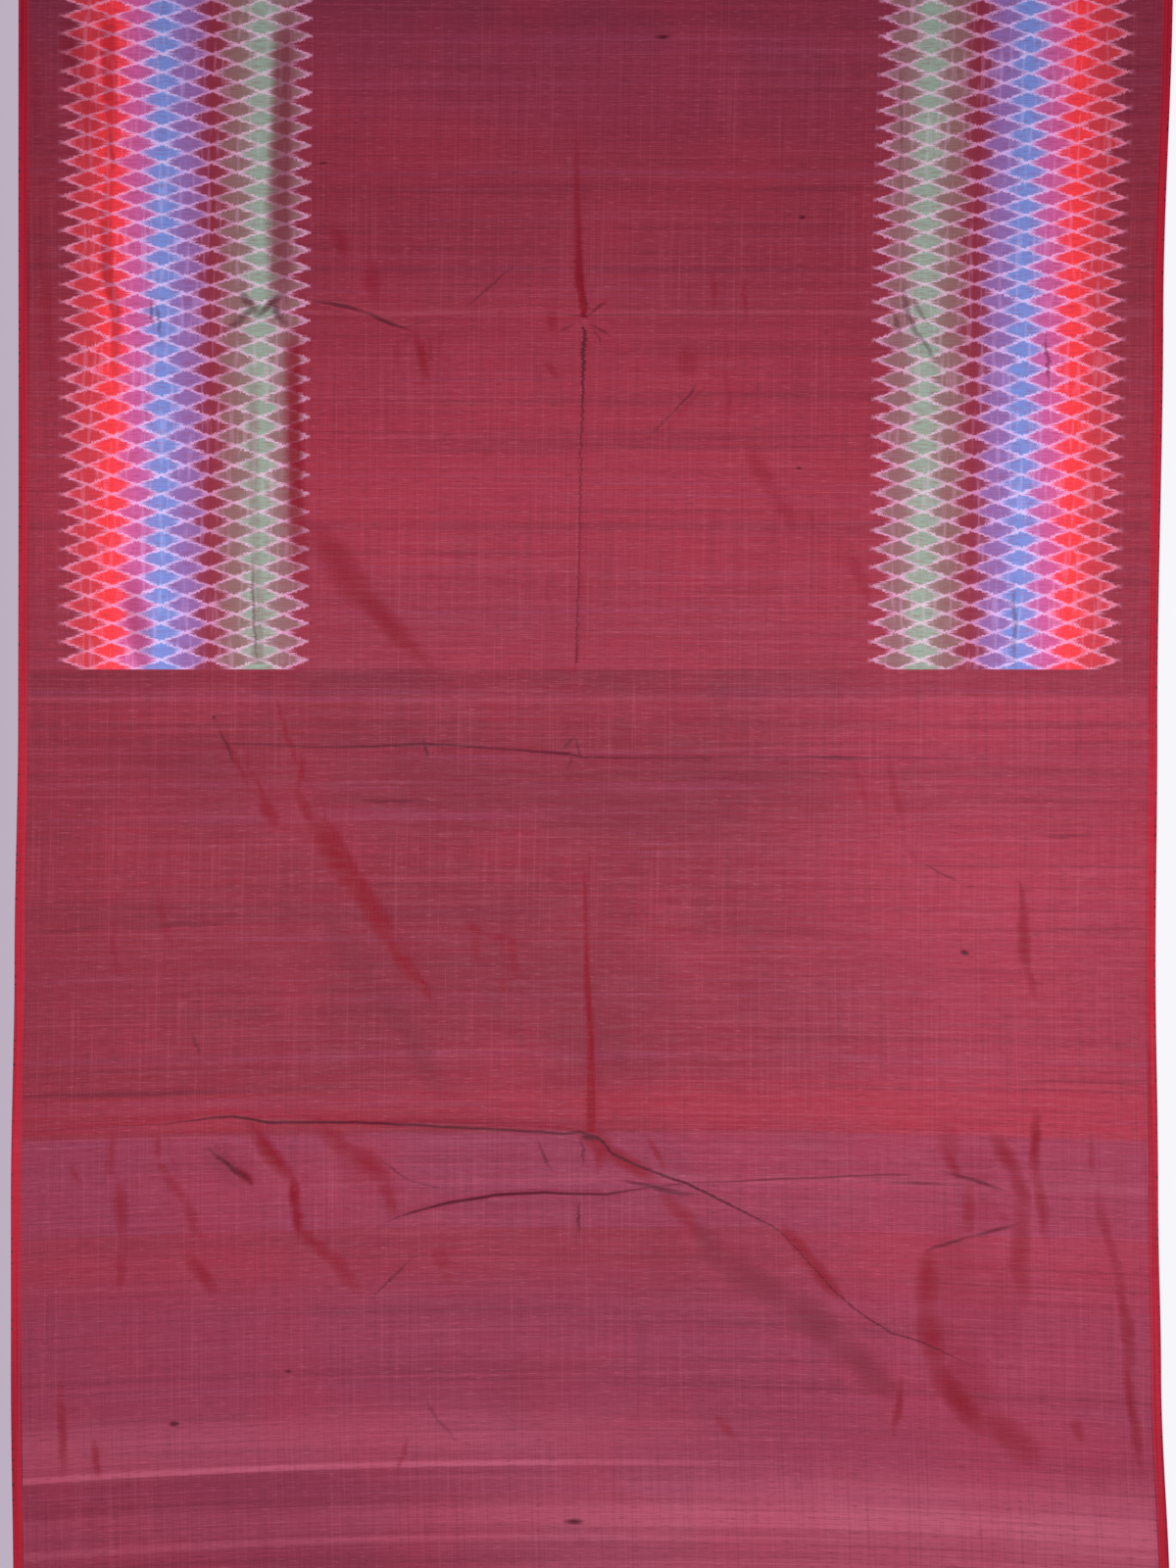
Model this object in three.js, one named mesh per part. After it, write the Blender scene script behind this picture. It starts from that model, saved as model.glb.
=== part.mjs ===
// Silk saree with woven lozenge borders, folded in four hanging layers and held up by its top edge.
// Millimetres. +X is the viewer's right, +Y points away from the viewer, +Z is up.
// The origin is the middle of the held top edge, on the crest of the front fold.

import * as THREE from "three";

// Cloth
const WALL = 1.2;
const SEAM_GAP = 0.3;
const CLOTH_WIDTH = 1180;
const SELVEDGE_WIDTH = 11;
const BORDER_INNER_EDGE = 301;

// Lengths, measured down from the held top edge
const FRONT_DROP = 1640;
const BLOUSE_TOP_DROP = 711;
const BOTTOM_FOLD_DROP = 1588;
const BACK_DROP = 1545;
const PALLU_TOP_DROP = 905;

// Where the front layer hangs, so that the crest of its top fold passes through the origin
const FRONT_LAYER_Y = -7;

// Folds between the layers
const FOLD_HEIGHT = 7;
const FOLD_LEG = 9;
const FOLD_STEPS = 5;

// How far the held corners stand above the middle of the top edge, and how far the hem's corners reach below its middle
const TOP_CORNER_RISE = 4;
const HEM_CORNER_DROP = 22;

// Grid of the walls, in cells
const FRONT_FIELD_CELLS = 16;
const BORDER_CELLS = 8;
const REAR_CELLS_ACROSS = 20;
const BACK_FIELD_CELLS = 10;
const BACK_BORDER_CELLS = 5;
const CELL_HEIGHT_FRONT = 36;
const CELL_HEIGHT_REAR = 96;

const BODY_COLOUR = 0x9b3c52;
const BLOUSE_COLOUR = 0x983a4d;
const BORDER_COLOUR = 0xa46a8e;
const SELVEDGE_COLOUR = 0xb02a45;
const PALLU_COLOUR = 0x8c3046;

// The two selvedges, at the height of each section: the taut cloth bows in a little between its held corners.
const EDGE_SECTIONS = [
  { z: 10, left: -583, right: 595 },
  { z: -350, left: -583, right: 585 },
  { z: -770, left: -583.5, right: 579 },
  { z: -1010, left: -587, right: 577 },
  { z: -1250, left: -591, right: 580 },
  { z: -1430, left: -591, right: 583 },
  { z: -1680, left: -588, right: 592 },
];

// The main creases of the front layer, each a straight stretch. Depth is positive away from the viewer.
const FRONT_CREASES = [
  { name: "centre fold, top", x0: -11, z0: -40, x1: -11, z1: -345, depth: 3.4, reach: 26 },
  { name: "centre fold, middle", x0: -7, z0: -360, x1: -14, z1: -706, depth: 2.6, reach: 24 },
  { name: "centre fold, low", x0: -5, z0: -910, x1: 0, z1: -1178, depth: 3.4, reach: 26 },
  { name: "upper cross fold", x0: -282, z0: -343, x1: 458, z1: -349, depth: 3.2, reach: 24 },
  { name: "middle cross fold", x0: -372, z0: -793, x1: 258, z1: -793, depth: 3.2, reach: 24 },
  { name: "lower cross fold, left", x0: -565, z0: -1185, x1: -350, z1: -1169, depth: 3.4, reach: 24 },
  { name: "lower cross fold, mid", x0: -350, z0: -1169, x1: 0, z1: -1183, depth: 3.6, reach: 24 },
  { name: "lower cross fold, right", x0: 0, z0: -1183, x1: 570, z1: -1180, depth: 2.6, reach: 24 },
  { name: "second low fold", x0: 38, z0: -1236, x1: 438, z1: -1243, depth: 2.8, reach: 22 },
  { name: "arc below the centre", x0: -207, z0: -1273, x1: 30, z1: -1245, depth: 3, reach: 24 },
  { name: "long diagonal, high", x0: 0, z0: -1185, x1: 198, z1: -1288, depth: 5, reach: 27 },
  { name: "long diagonal, low", x0: 198, z0: -1288, x1: 373, z1: -1413, depth: 5, reach: 27 },
  { name: "slant left of centre", x0: -282, z0: -568, x1: -167, z1: -703, depth: 4.4, reach: 28 },
  { name: "slant by the border", x0: -377, z0: -778, x1: -327, z1: -858, depth: 3.6, reach: 26 },
  { name: "deep slant, high", x0: -302, z0: -808, x1: -232, z1: -928, depth: 5.2, reach: 28 },
  { name: "deep slant, low", x0: -232, z0: -928, x1: -162, z1: -1038, depth: 5, reach: 26 },
  { name: "left fan, outer", x0: -347, z0: -1190, x1: -292, z1: -1283, depth: 4.4, reach: 24 },
  { name: "left fan, foot", x0: -292, z0: -1283, x1: -232, z1: -1338, depth: 3.6, reach: 24 },
  { name: "left fan, inner", x0: -272, z0: -1185, x1: -202, z1: -1268, depth: 3.4, reach: 24 },
  { name: "left edge slant", x0: -482, z0: -1238, x1: -482, z1: -1290, depth: 3.2, reach: 26 },
  { name: "right pucker", x0: 443, z0: -960, x1: 443, z1: -1040, depth: 3.2, reach: 24 },
  { name: "right slant", x0: 363, z0: -1188, x1: 383, z1: -1235, depth: 3.2, reach: 24 },
  { name: "diamond, left side", x0: 345, z0: -1300, x1: 383, z1: -1398, depth: 3.4, reach: 26 },
  { name: "diamond, foot", x0: 383, z0: -1398, x1: 418, z1: -1508, depth: 4.2, reach: 26 },
  { name: "right edge slant", x0: 540, z0: -1308, x1: 556, z1: -1508, depth: 3.4, reach: 26 },
  { name: "left border fold", x0: -508, z0: -40, x1: -494, z1: -350, depth: 2.4, reach: 24 },
  { name: "inner border fold", x0: -322, z0: -48, x1: -318, z1: -350, depth: 2.8, reach: 22 },
  { name: "right border fold", x0: 458, z0: -68, x1: 458, z1: -348, depth: 2.6, reach: 24 },
];

// The three rear layers, front to back. Gap is the least air in front of a layer, wave is how deep its soft
// waves grow at the bottom, and the widths are shares of the front layer's width at the top and the bottom.
const REAR_LAYERS = [
  { gap: 14, wave: 15, firstPhase: 0.8, secondPhase: 2.1, widthTop: 1, widthBottom: 0.984 },
  { gap: 8, wave: 18, firstPhase: 2.3, secondPhase: 0.4, widthTop: 0.992, widthBottom: 0.984 },
  { gap: 14, wave: 22, firstPhase: 4.1, secondPhase: 3.2, widthTop: 0.992, widthBottom: 0.976 },
];
const LONG_WAVE = 318;
const SHORT_WAVE = 187;
const WAVE_LEAN_LONG = 900;
const WAVE_LEAN_SHORT = 640;
const WAVE_START = 60;
const WAVE_FULL = 1400;

// The slow swell of the taut front layer
const SWELL_DEPTH = 1.6;
const SWELL_ACROSS = 520;
const SWELL_DOWN = 760;

const smooth = (low, high, value) => THREE.MathUtils.smoothstep(value, low, high);
const mix = THREE.MathUtils.lerp;

// The left or right selvedge's X at height z, eased from one section to the next
function edgeAt(z, side) {
  const last = EDGE_SECTIONS.length - 1;
  if (z >= EDGE_SECTIONS[0].z) return EDGE_SECTIONS[0][side];
  if (z <= EDGE_SECTIONS[last].z) return EDGE_SECTIONS[last][side];
  const next = EDGE_SECTIONS.findIndex((section) => section.z <= z);
  const above = EDGE_SECTIONS[next - 1];
  const below = EDGE_SECTIONS[next];
  return mix(above[side], below[side], smooth(0, 1, (above.z - z) / (above.z - below.z)));
}

// X of a thread that lies u millimetres in from the left selvedge of the flat cloth
function acrossAt(u, z, widthShare) {
  const left = edgeAt(z, "left");
  const right = edgeAt(z, "right");
  const middle = (left + right) / 2;
  return middle + (mix(left, right, u / CLOTH_WIDTH) - middle) * widthShare;
}

// Height of the weft thread that hangs drop millimetres below the middle of the top edge
function heightAt(u, drop) {
  const fromMiddle = (2 * u) / CLOTH_WIDTH - 1;
  const rise = TOP_CORNER_RISE * (1 - smooth(0, BLOUSE_TOP_DROP, drop));
  const fall = HEM_CORNER_DROP * smooth(BLOUSE_TOP_DROP, FRONT_DROP, drop);
  return -drop + (rise - fall) * fromMiddle * fromMiddle;
}

function distanceToCrease(x, z, crease) {
  const runX = crease.x1 - crease.x0;
  const runZ = crease.z1 - crease.z0;
  const along = ((x - crease.x0) * runX + (z - crease.z0) * runZ) / (runX * runX + runZ * runZ);
  const share = THREE.MathUtils.clamp(along, 0, 1);
  return Math.hypot(x - crease.x0 - share * runX, z - crease.z0 - share * runZ);
}

function creaseRelief(x, z) {
  return FRONT_CREASES.reduce((sum, crease) => {
    const distance = distanceToCrease(x, z, crease) / crease.reach;
    return sum + crease.depth * Math.exp(-distance * distance);
  }, 0);
}

function frontDepth(x, z) {
  const swell = Math.cos((2 * Math.PI * x) / SWELL_ACROSS) * Math.sin((2 * Math.PI * z) / SWELL_DOWN);
  return creaseRelief(x, z) + SWELL_DEPTH * swell;
}

function rearWave(x, z, layer) {
  const long = Math.sin((2 * Math.PI * x) / LONG_WAVE + layer.firstPhase + z / WAVE_LEAN_LONG);
  const short = Math.sin((2 * Math.PI * x) / SHORT_WAVE + layer.secondPhase - z / WAVE_LEAN_SHORT);
  return layer.wave * smooth(WAVE_START, WAVE_FULL, -z) * (0.5 + 0.3 * long + 0.2 * short);
}

// Depth of layer 0 (the front) to 3 (the back): each lies its gap and its wave behind the one before,
// and the first rear layer is hung from the flat front, so no crease reaches it.
function layerDepth(index, x, z) {
  if (index === 0) return FRONT_LAYER_Y + frontDepth(x, z);
  const inFront = REAR_LAYERS.slice(0, index);
  return inFront.reduce((sum, layer) => sum + layer.gap + rearWave(x, z, layer), FRONT_LAYER_Y);
}

function widthShareAt(index, drop) {
  if (index === 0) return 1;
  const layer = REAR_LAYERS[index - 1];
  return mix(layer.widthTop, layer.widthBottom, smooth(0, BOTTOM_FOLD_DROP, drop));
}

function pointOnLayer(index, u, drop) {
  const z = heightAt(u, drop);
  const x = acrossAt(u, z, widthShareAt(index, drop));
  return new THREE.Vector3(x, layerDepth(index, x, z), z);
}

// A fold that joins layer index to the next one, either over the top (direction 1) or under the bottom (-1).
// The path runs down one leg, round half an ellipse and up the other leg.
function pointOnFold(index, turnDrop, direction, u, path) {
  const legDrop = turnDrop + direction * FOLD_HEIGHT;
  const before = pointOnLayer(index, u, legDrop);
  const after = pointOnLayer(index + 1, u, legDrop);
  if (path <= 0) return pointOnLayer(index, u, legDrop - direction * path);
  if (path >= Math.PI) return pointOnLayer(index + 1, u, legDrop + direction * (path - Math.PI));
  const share = (1 - Math.cos(path)) / 2;
  const point = before.clone().lerp(after, share);
  point.z += direction * FOLD_HEIGHT * Math.sin(path);
  return point;
}

// A closed wall on both sides of the surface pointAt(u, v), over the given grid lines
function wallGeometry(pointAt, uLines, vLines) {
  const step = 0.05;
  const positions = [];
  const outer = [];
  const inner = [];
  for (const v of vLines) {
    for (const u of uLines) {
      const alongU = pointAt(u + step, v).sub(pointAt(u - step, v));
      const alongV = pointAt(u, v + step).sub(pointAt(u, v - step));
      const half = alongU.cross(alongV).normalize().multiplyScalar(WALL / 2);
      const middle = pointAt(u, v);
      outer.push(middle.clone().add(half));
      inner.push(middle.clone().sub(half));
    }
  }
  for (const point of [...outer, ...inner]) positions.push(point.x, point.y, point.z);

  const columns = uLines.length;
  const rows = vLines.length;
  const indices = [];
  const quad = (a, b, c, d) => indices.push(a, b, c, a, c, d);
  const front = (column, row) => row * columns + column;
  const back = (column, row) => columns * rows + front(column, row);
  for (let row = 0; row + 1 < rows; row += 1) {
    for (let column = 0; column + 1 < columns; column += 1) {
      quad(front(column, row), front(column + 1, row), front(column + 1, row + 1), front(column, row + 1));
      quad(back(column, row + 1), back(column + 1, row + 1), back(column + 1, row), back(column, row));
    }
  }
  for (let column = 0; column + 1 < columns; column += 1) {
    const last = rows - 1;
    quad(back(column, 0), back(column + 1, 0), front(column + 1, 0), front(column, 0));
    quad(front(column, last), front(column + 1, last), back(column + 1, last), back(column, last));
  }
  for (let row = 0; row + 1 < rows; row += 1) {
    const last = columns - 1;
    quad(back(0, row + 1), back(0, row), front(0, row), front(0, row + 1));
    quad(front(last, row + 1), front(last, row), back(last, row), back(last, row + 1));
  }
  const geometry = new THREE.BufferGeometry();
  geometry.setAttribute("position", new THREE.Float32BufferAttribute(positions, 3));
  geometry.setIndex(indices);
  geometry.computeVertexNormals();
  return geometry;
}

const evenLines = (from, to, cells) =>
  Array.from({ length: cells + 1 }, (unused, index) => mix(from, to, index / cells));

const cellsFor = (length, cellHeight) => Math.max(1, Math.round(Math.abs(length) / cellHeight));

const saree = new THREE.Group();

function addPiece(name, colour, geometry) {
  const material = new THREE.MeshStandardMaterial({ color: colour, roughness: 0.5, metalness: 0 });
  const mesh = new THREE.Mesh(geometry, material);
  mesh.name = name;
  saree.add(mesh);
}

// A piece of one layer. A layer that runs up (the front, the third) is gridded upwards, the others downwards,
// so the same side of the silk faces out on every piece of the folded length.
function addLayerPiece(name, colour, index, across, drops, cellHeight) {
  const runsUp = index % 2 === 0;
  const upper = drops.top + SEAM_GAP / 2;
  const lower = drops.bottom - SEAM_GAP / 2;
  const cells = cellsFor(lower - upper, cellHeight);
  const uLines = evenLines(across.from, across.to, across.cells);
  const vLines = runsUp ? evenLines(-lower, -upper, cells) : evenLines(upper, lower, cells);
  const pointAt = (u, v) => pointOnLayer(index, u, runsUp ? -v : v);
  addPiece(name, colour, wallGeometry(pointAt, uLines, vLines));
}

// The bands of the weave across the cloth: selvedge, border, field and back again
const halfGap = SEAM_GAP / 2;
const innerRight = CLOTH_WIDTH - BORDER_INNER_EDGE;
const selvedgeRight = CLOTH_WIDTH - SELVEDGE_WIDTH;
const ACROSS = {
  leftSelvedge: { from: 0, to: SELVEDGE_WIDTH - halfGap, cells: 1 },
  leftBorder: { from: SELVEDGE_WIDTH + halfGap, to: BORDER_INNER_EDGE - halfGap, cells: BORDER_CELLS },
  field: { from: BORDER_INNER_EDGE + halfGap, to: innerRight - halfGap, cells: FRONT_FIELD_CELLS },
  rightBorder: { from: innerRight + halfGap, to: selvedgeRight - halfGap, cells: BORDER_CELLS },
  rightSelvedge: { from: selvedgeRight + halfGap, to: CLOTH_WIDTH, cells: 1 },
  plain: {
    from: SELVEDGE_WIDTH + halfGap,
    to: selvedgeRight - halfGap,
    cells: FRONT_FIELD_CELLS + 2 * BORDER_CELLS,
  },
  whole: { from: 0, to: CLOTH_WIDTH, cells: REAR_CELLS_ACROSS },
};
const coarse = (band, cells) => ({ ...band, cells });

const foldLegDrop = FOLD_HEIGHT + FOLD_LEG;
const frontBody = { top: foldLegDrop, bottom: BLOUSE_TOP_DROP };
const blouse = { top: BLOUSE_TOP_DROP, bottom: FRONT_DROP };
const middleLayers = { top: foldLegDrop, bottom: BOTTOM_FOLD_DROP - foldLegDrop };
const backBody = { top: foldLegDrop, bottom: PALLU_TOP_DROP };
const pallu = { top: PALLU_TOP_DROP, bottom: BACK_DROP };

function addFront() {
  const tall = CELL_HEIGHT_FRONT;
  addLayerPiece("front_blouse_piece", BLOUSE_COLOUR, 0, ACROSS.plain, blouse, tall);
  addLayerPiece("front_blouse_selvedge_left", SELVEDGE_COLOUR, 0, ACROSS.leftSelvedge, blouse, tall);
  addLayerPiece("front_blouse_selvedge_right", SELVEDGE_COLOUR, 0, ACROSS.rightSelvedge, blouse, tall);
  addLayerPiece("front_body_field", BODY_COLOUR, 0, ACROSS.field, frontBody, tall);
  addLayerPiece("front_border_left", BORDER_COLOUR, 0, ACROSS.leftBorder, frontBody, tall);
  addLayerPiece("front_border_right", BORDER_COLOUR, 0, ACROSS.rightBorder, frontBody, tall);
  addLayerPiece("front_body_selvedge_left", SELVEDGE_COLOUR, 0, ACROSS.leftSelvedge, frontBody, tall);
  addLayerPiece("front_body_selvedge_right", SELVEDGE_COLOUR, 0, ACROSS.rightSelvedge, frontBody, tall);
}

function addMiddleLayers() {
  addLayerPiece("second_layer", BODY_COLOUR, 1, ACROSS.whole, middleLayers, CELL_HEIGHT_REAR);
  addLayerPiece("third_layer", BODY_COLOUR, 2, ACROSS.whole, middleLayers, CELL_HEIGHT_REAR);
}

function addBack() {
  const tall = CELL_HEIGHT_REAR;
  const field = coarse(ACROSS.field, BACK_FIELD_CELLS);
  const leftBorder = coarse(ACROSS.leftBorder, BACK_BORDER_CELLS);
  const rightBorder = coarse(ACROSS.rightBorder, BACK_BORDER_CELLS);
  const plain = coarse(ACROSS.plain, REAR_CELLS_ACROSS);
  addLayerPiece("back_body_field", BODY_COLOUR, 3, field, backBody, tall);
  addLayerPiece("back_border_left", BORDER_COLOUR, 3, leftBorder, backBody, tall);
  addLayerPiece("back_border_right", BORDER_COLOUR, 3, rightBorder, backBody, tall);
  addLayerPiece("back_body_selvedge_left", SELVEDGE_COLOUR, 3, ACROSS.leftSelvedge, backBody, tall);
  addLayerPiece("back_body_selvedge_right", SELVEDGE_COLOUR, 3, ACROSS.rightSelvedge, backBody, tall);
  addLayerPiece("back_pallu", PALLU_COLOUR, 3, plain, pallu, tall);
  addLayerPiece("back_pallu_selvedge_left", SELVEDGE_COLOUR, 3, ACROSS.leftSelvedge, pallu, tall);
  addLayerPiece("back_pallu_selvedge_right", SELVEDGE_COLOUR, 3, ACROSS.rightSelvedge, pallu, tall);
}

function addFold(name, index, turnDrop, direction) {
  const leg = FOLD_LEG - halfGap;
  const arc = evenLines(0, Math.PI, FOLD_STEPS);
  const path = [-leg, ...arc, Math.PI + leg];
  const pointAt = (u, v) => pointOnFold(index, turnDrop, direction, u, v);
  addPiece(name, BODY_COLOUR, wallGeometry(pointAt, evenLines(0, CLOTH_WIDTH, REAR_CELLS_ACROSS), path));
}

addFront();
addFold("top_fold_front", 0, 0, 1);
addMiddleLayers();
addFold("bottom_fold", 1, BOTTOM_FOLD_DROP, -1);
addFold("top_fold_back", 2, 0, 1);
addBack();

export default saree;
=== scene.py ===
"""A silk saree held up by its top edge: the cloth, its weave, the light and the camera.

Metres, in the frame of the CAD model: +X to the viewer's right, +Y away, +Z up, and the origin on the
crest of the held fold.
"""
import math

import bpy
import numpy as np
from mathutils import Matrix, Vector


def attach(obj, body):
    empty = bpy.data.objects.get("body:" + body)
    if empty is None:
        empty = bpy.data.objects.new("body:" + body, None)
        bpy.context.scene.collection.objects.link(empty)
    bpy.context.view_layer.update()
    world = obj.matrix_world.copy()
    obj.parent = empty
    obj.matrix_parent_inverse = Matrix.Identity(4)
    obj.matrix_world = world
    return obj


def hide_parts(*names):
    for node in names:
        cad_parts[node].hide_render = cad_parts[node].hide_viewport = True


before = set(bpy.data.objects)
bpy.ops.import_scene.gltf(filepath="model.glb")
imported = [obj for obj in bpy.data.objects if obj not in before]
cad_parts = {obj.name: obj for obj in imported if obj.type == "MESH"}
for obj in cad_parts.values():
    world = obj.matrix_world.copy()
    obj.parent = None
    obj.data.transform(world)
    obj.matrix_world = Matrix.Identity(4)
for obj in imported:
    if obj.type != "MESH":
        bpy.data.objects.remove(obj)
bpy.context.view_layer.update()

# The cloth
CLOTH_WIDTH = 1.180
SILK_THICKNESS = 0.0007
SELVEDGE_WIDTH = 0.011
BORDER_INNER_EDGE = 0.301

# Lengths down from the held top edge
FRONT_DROP = 1.640
BLOUSE_TOP_DROP = 0.711
BOTTOM_FOLD_DROP = 1.588
BACK_DROP = 1.545
PALLU_TOP_DROP = 0.905

FRONT_LAYER_Y = -0.007
FOLD_HEIGHT = 0.007
FOLD_LEG = 0.009
TOP_CORNER_RISE = 0.004
HEM_CORNER_DROP = 0.022

# The cloth's length, counted from the blouse end
BLOUSE_LENGTH = FRONT_DROP - BLOUSE_TOP_DROP
SECOND_TOP_LENGTH = FRONT_DROP
THIRD_BOTTOM_LENGTH = SECOND_TOP_LENGTH + BOTTOM_FOLD_DROP
BACK_TOP_LENGTH = THIRD_BOTTOM_LENGTH + BOTTOM_FOLD_DROP
PALLU_LENGTH_START = BACK_TOP_LENGTH + PALLU_TOP_DROP

# Lozenge borders
LOZENGE_COLUMNS = 9
COLUMN_PITCH = 0.0254
ROW_PITCH = 0.01868
FIRST_COLUMN_LEFT = 0.0712
FIRST_COLUMN_RIGHT = 0.0680
PACKED_ROWS = -0.48

# Camera
LENS_MM = 85
SENSOR_MM = 36
PHOTO_HEIGHT_PX = 1600
MM_PER_PX = 1.0
PHOTO_CENTRE_X = -0.002
PHOTO_CENTRE_Z = -0.828

# The selvedges at the height of each section
EDGE_COLUMNS = ("z", "left", "right")
EDGE_SECTIONS = [
    (0.010, -0.583, 0.595), (-0.350, -0.583, 0.585), (-0.770, -0.5835, 0.579), (-1.010, -0.587, 0.577),
    (-1.250, -0.591, 0.580), (-1.430, -0.591, 0.583), (-1.680, -0.588, 0.592),
]

# The rear layers, front to back
LAYER_COLUMNS = ("gap", "wave", "first_phase", "second_phase", "width_top", "width_bottom")
REAR_LAYERS = [
    (0.014, 0.015, 0.8, 2.1, 1.000, 0.984), (0.008, 0.018, 2.3, 0.4, 0.992, 0.984),
    (0.014, 0.022, 4.1, 3.2, 0.992, 0.976),
]
LONG_WAVE = 0.318
SHORT_WAVE = 0.187
WAVE_LEAN_LONG = 0.900
WAVE_LEAN_SHORT = 0.640
WAVE_START = 0.060
WAVE_FULL = 1.400
WAVE_MEAN = 0.5
LONG_WAVE_SHARE = 0.3
SHORT_WAVE_SHARE = 0.2

SWELL_DEPTH = 0.0016
SWELL_ACROSS = 0.520
SWELL_DOWN = 0.760

# A crease is rounded at its bottom over so many millimetres and reckoned as far as so many gentle flanks. Its
# ends fade over a share of its steep flank and some millimetres more. It is level when its normal leans
# sideways by less than a share, and the relief is a share of the depths in the tables.
CREASE_ROUNDING = 1.2
CREASE_REACH = 4
CREASE_END_SHARE = 1.2
CREASE_END = 4
LEVEL_CREASE = 0.25
RELIEF_SHARE = 0.6

# The painted crease shades, marks and fold lines, are drawn longer and wider than the tables say, and
# widths are given to the ramps in this unit, in metres.
FOLD_WIDTH_UNIT = 0.030
SPINDLE_LENGTHEN = 1.2
SPINDLE_WIDEN = 1.7
FOLD_WIDEN = 1.4

# Creases of the front layer, in millimetres: each runs from (x0, z0) to (x1, z1), and its depth is away from
# the viewer. One flank is steep and the other gentle, each that many millimetres wide. Side says whether
# the steep one is to the right or above (1) or to the left or below (-1).
CREASE_COLUMNS = ("x0", "z0", "x1", "z1", "depth", "steep", "gentle", "side")
STORAGE_FOLDS = [
    (-11, -125, -12, -200, 1.2, 4, 22, 1), (-12, -200, -10, -345, 1.8, 5, 24, 1),
    (-7, -362, -10, -520, 1.2, 3, 26, 1), (-10, -520, -15, -706, 1.2, 3, 26, 1),
    (-6, -905, -5, -1000, 1.4, 3, 26, 1), (-5, -1000, -1, -1110, 2.0, 5, 28, 1),
    (-1, -1110, 4, -1184, 2.6, 7, 30, 1), (-12, -1243, -13, -1285, 1.0, 4, 12, 1),
    (-262, -352, -40, -347, 0.7, 4, 26, 1), (-40, -347, 210, -349, 0.9, 4, 28, 1),
    (210, -349, 458, -351, 0.5, 4, 26, 1), (-372, -792, -165, -791, 0.9, 4, 30, -1),
    (-165, -791, 30, -796, 1.2, 4, 30, -1), (30, -796, 330, -796, 0.9, 4, 28, -1),
    (-580, -1186, -470, -1176, 1.6, 4, 30, 1), (-470, -1176, -357, -1167, 1.8, 4, 32, 1),
    (-357, -1167, -200, -1174, 2.0, 4, 34, 1), (-200, -1174, -6, -1183, 2.0, 4, 34, 1),
    (4, -1184, 260, -1180, 0.9, 5, 30, 1), (260, -1180, 578, -1182, 0.8, 5, 28, 1),
    (-450, -1234, -200, -1234, 0.7, 4, 20, 1), (20, -1234, 130, -1239, 1.4, 3, 20, 1),
    (130, -1239, 438, -1240, 1.0, 3, 20, 1), (-207, -1273, -130, -1256, 1.4, 4, 20, 1),
    (-130, -1256, -30, -1247, 1.6, 4, 22, 1), (-30, -1247, 38, -1245, 1.2, 4, 20, 1),
]
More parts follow.
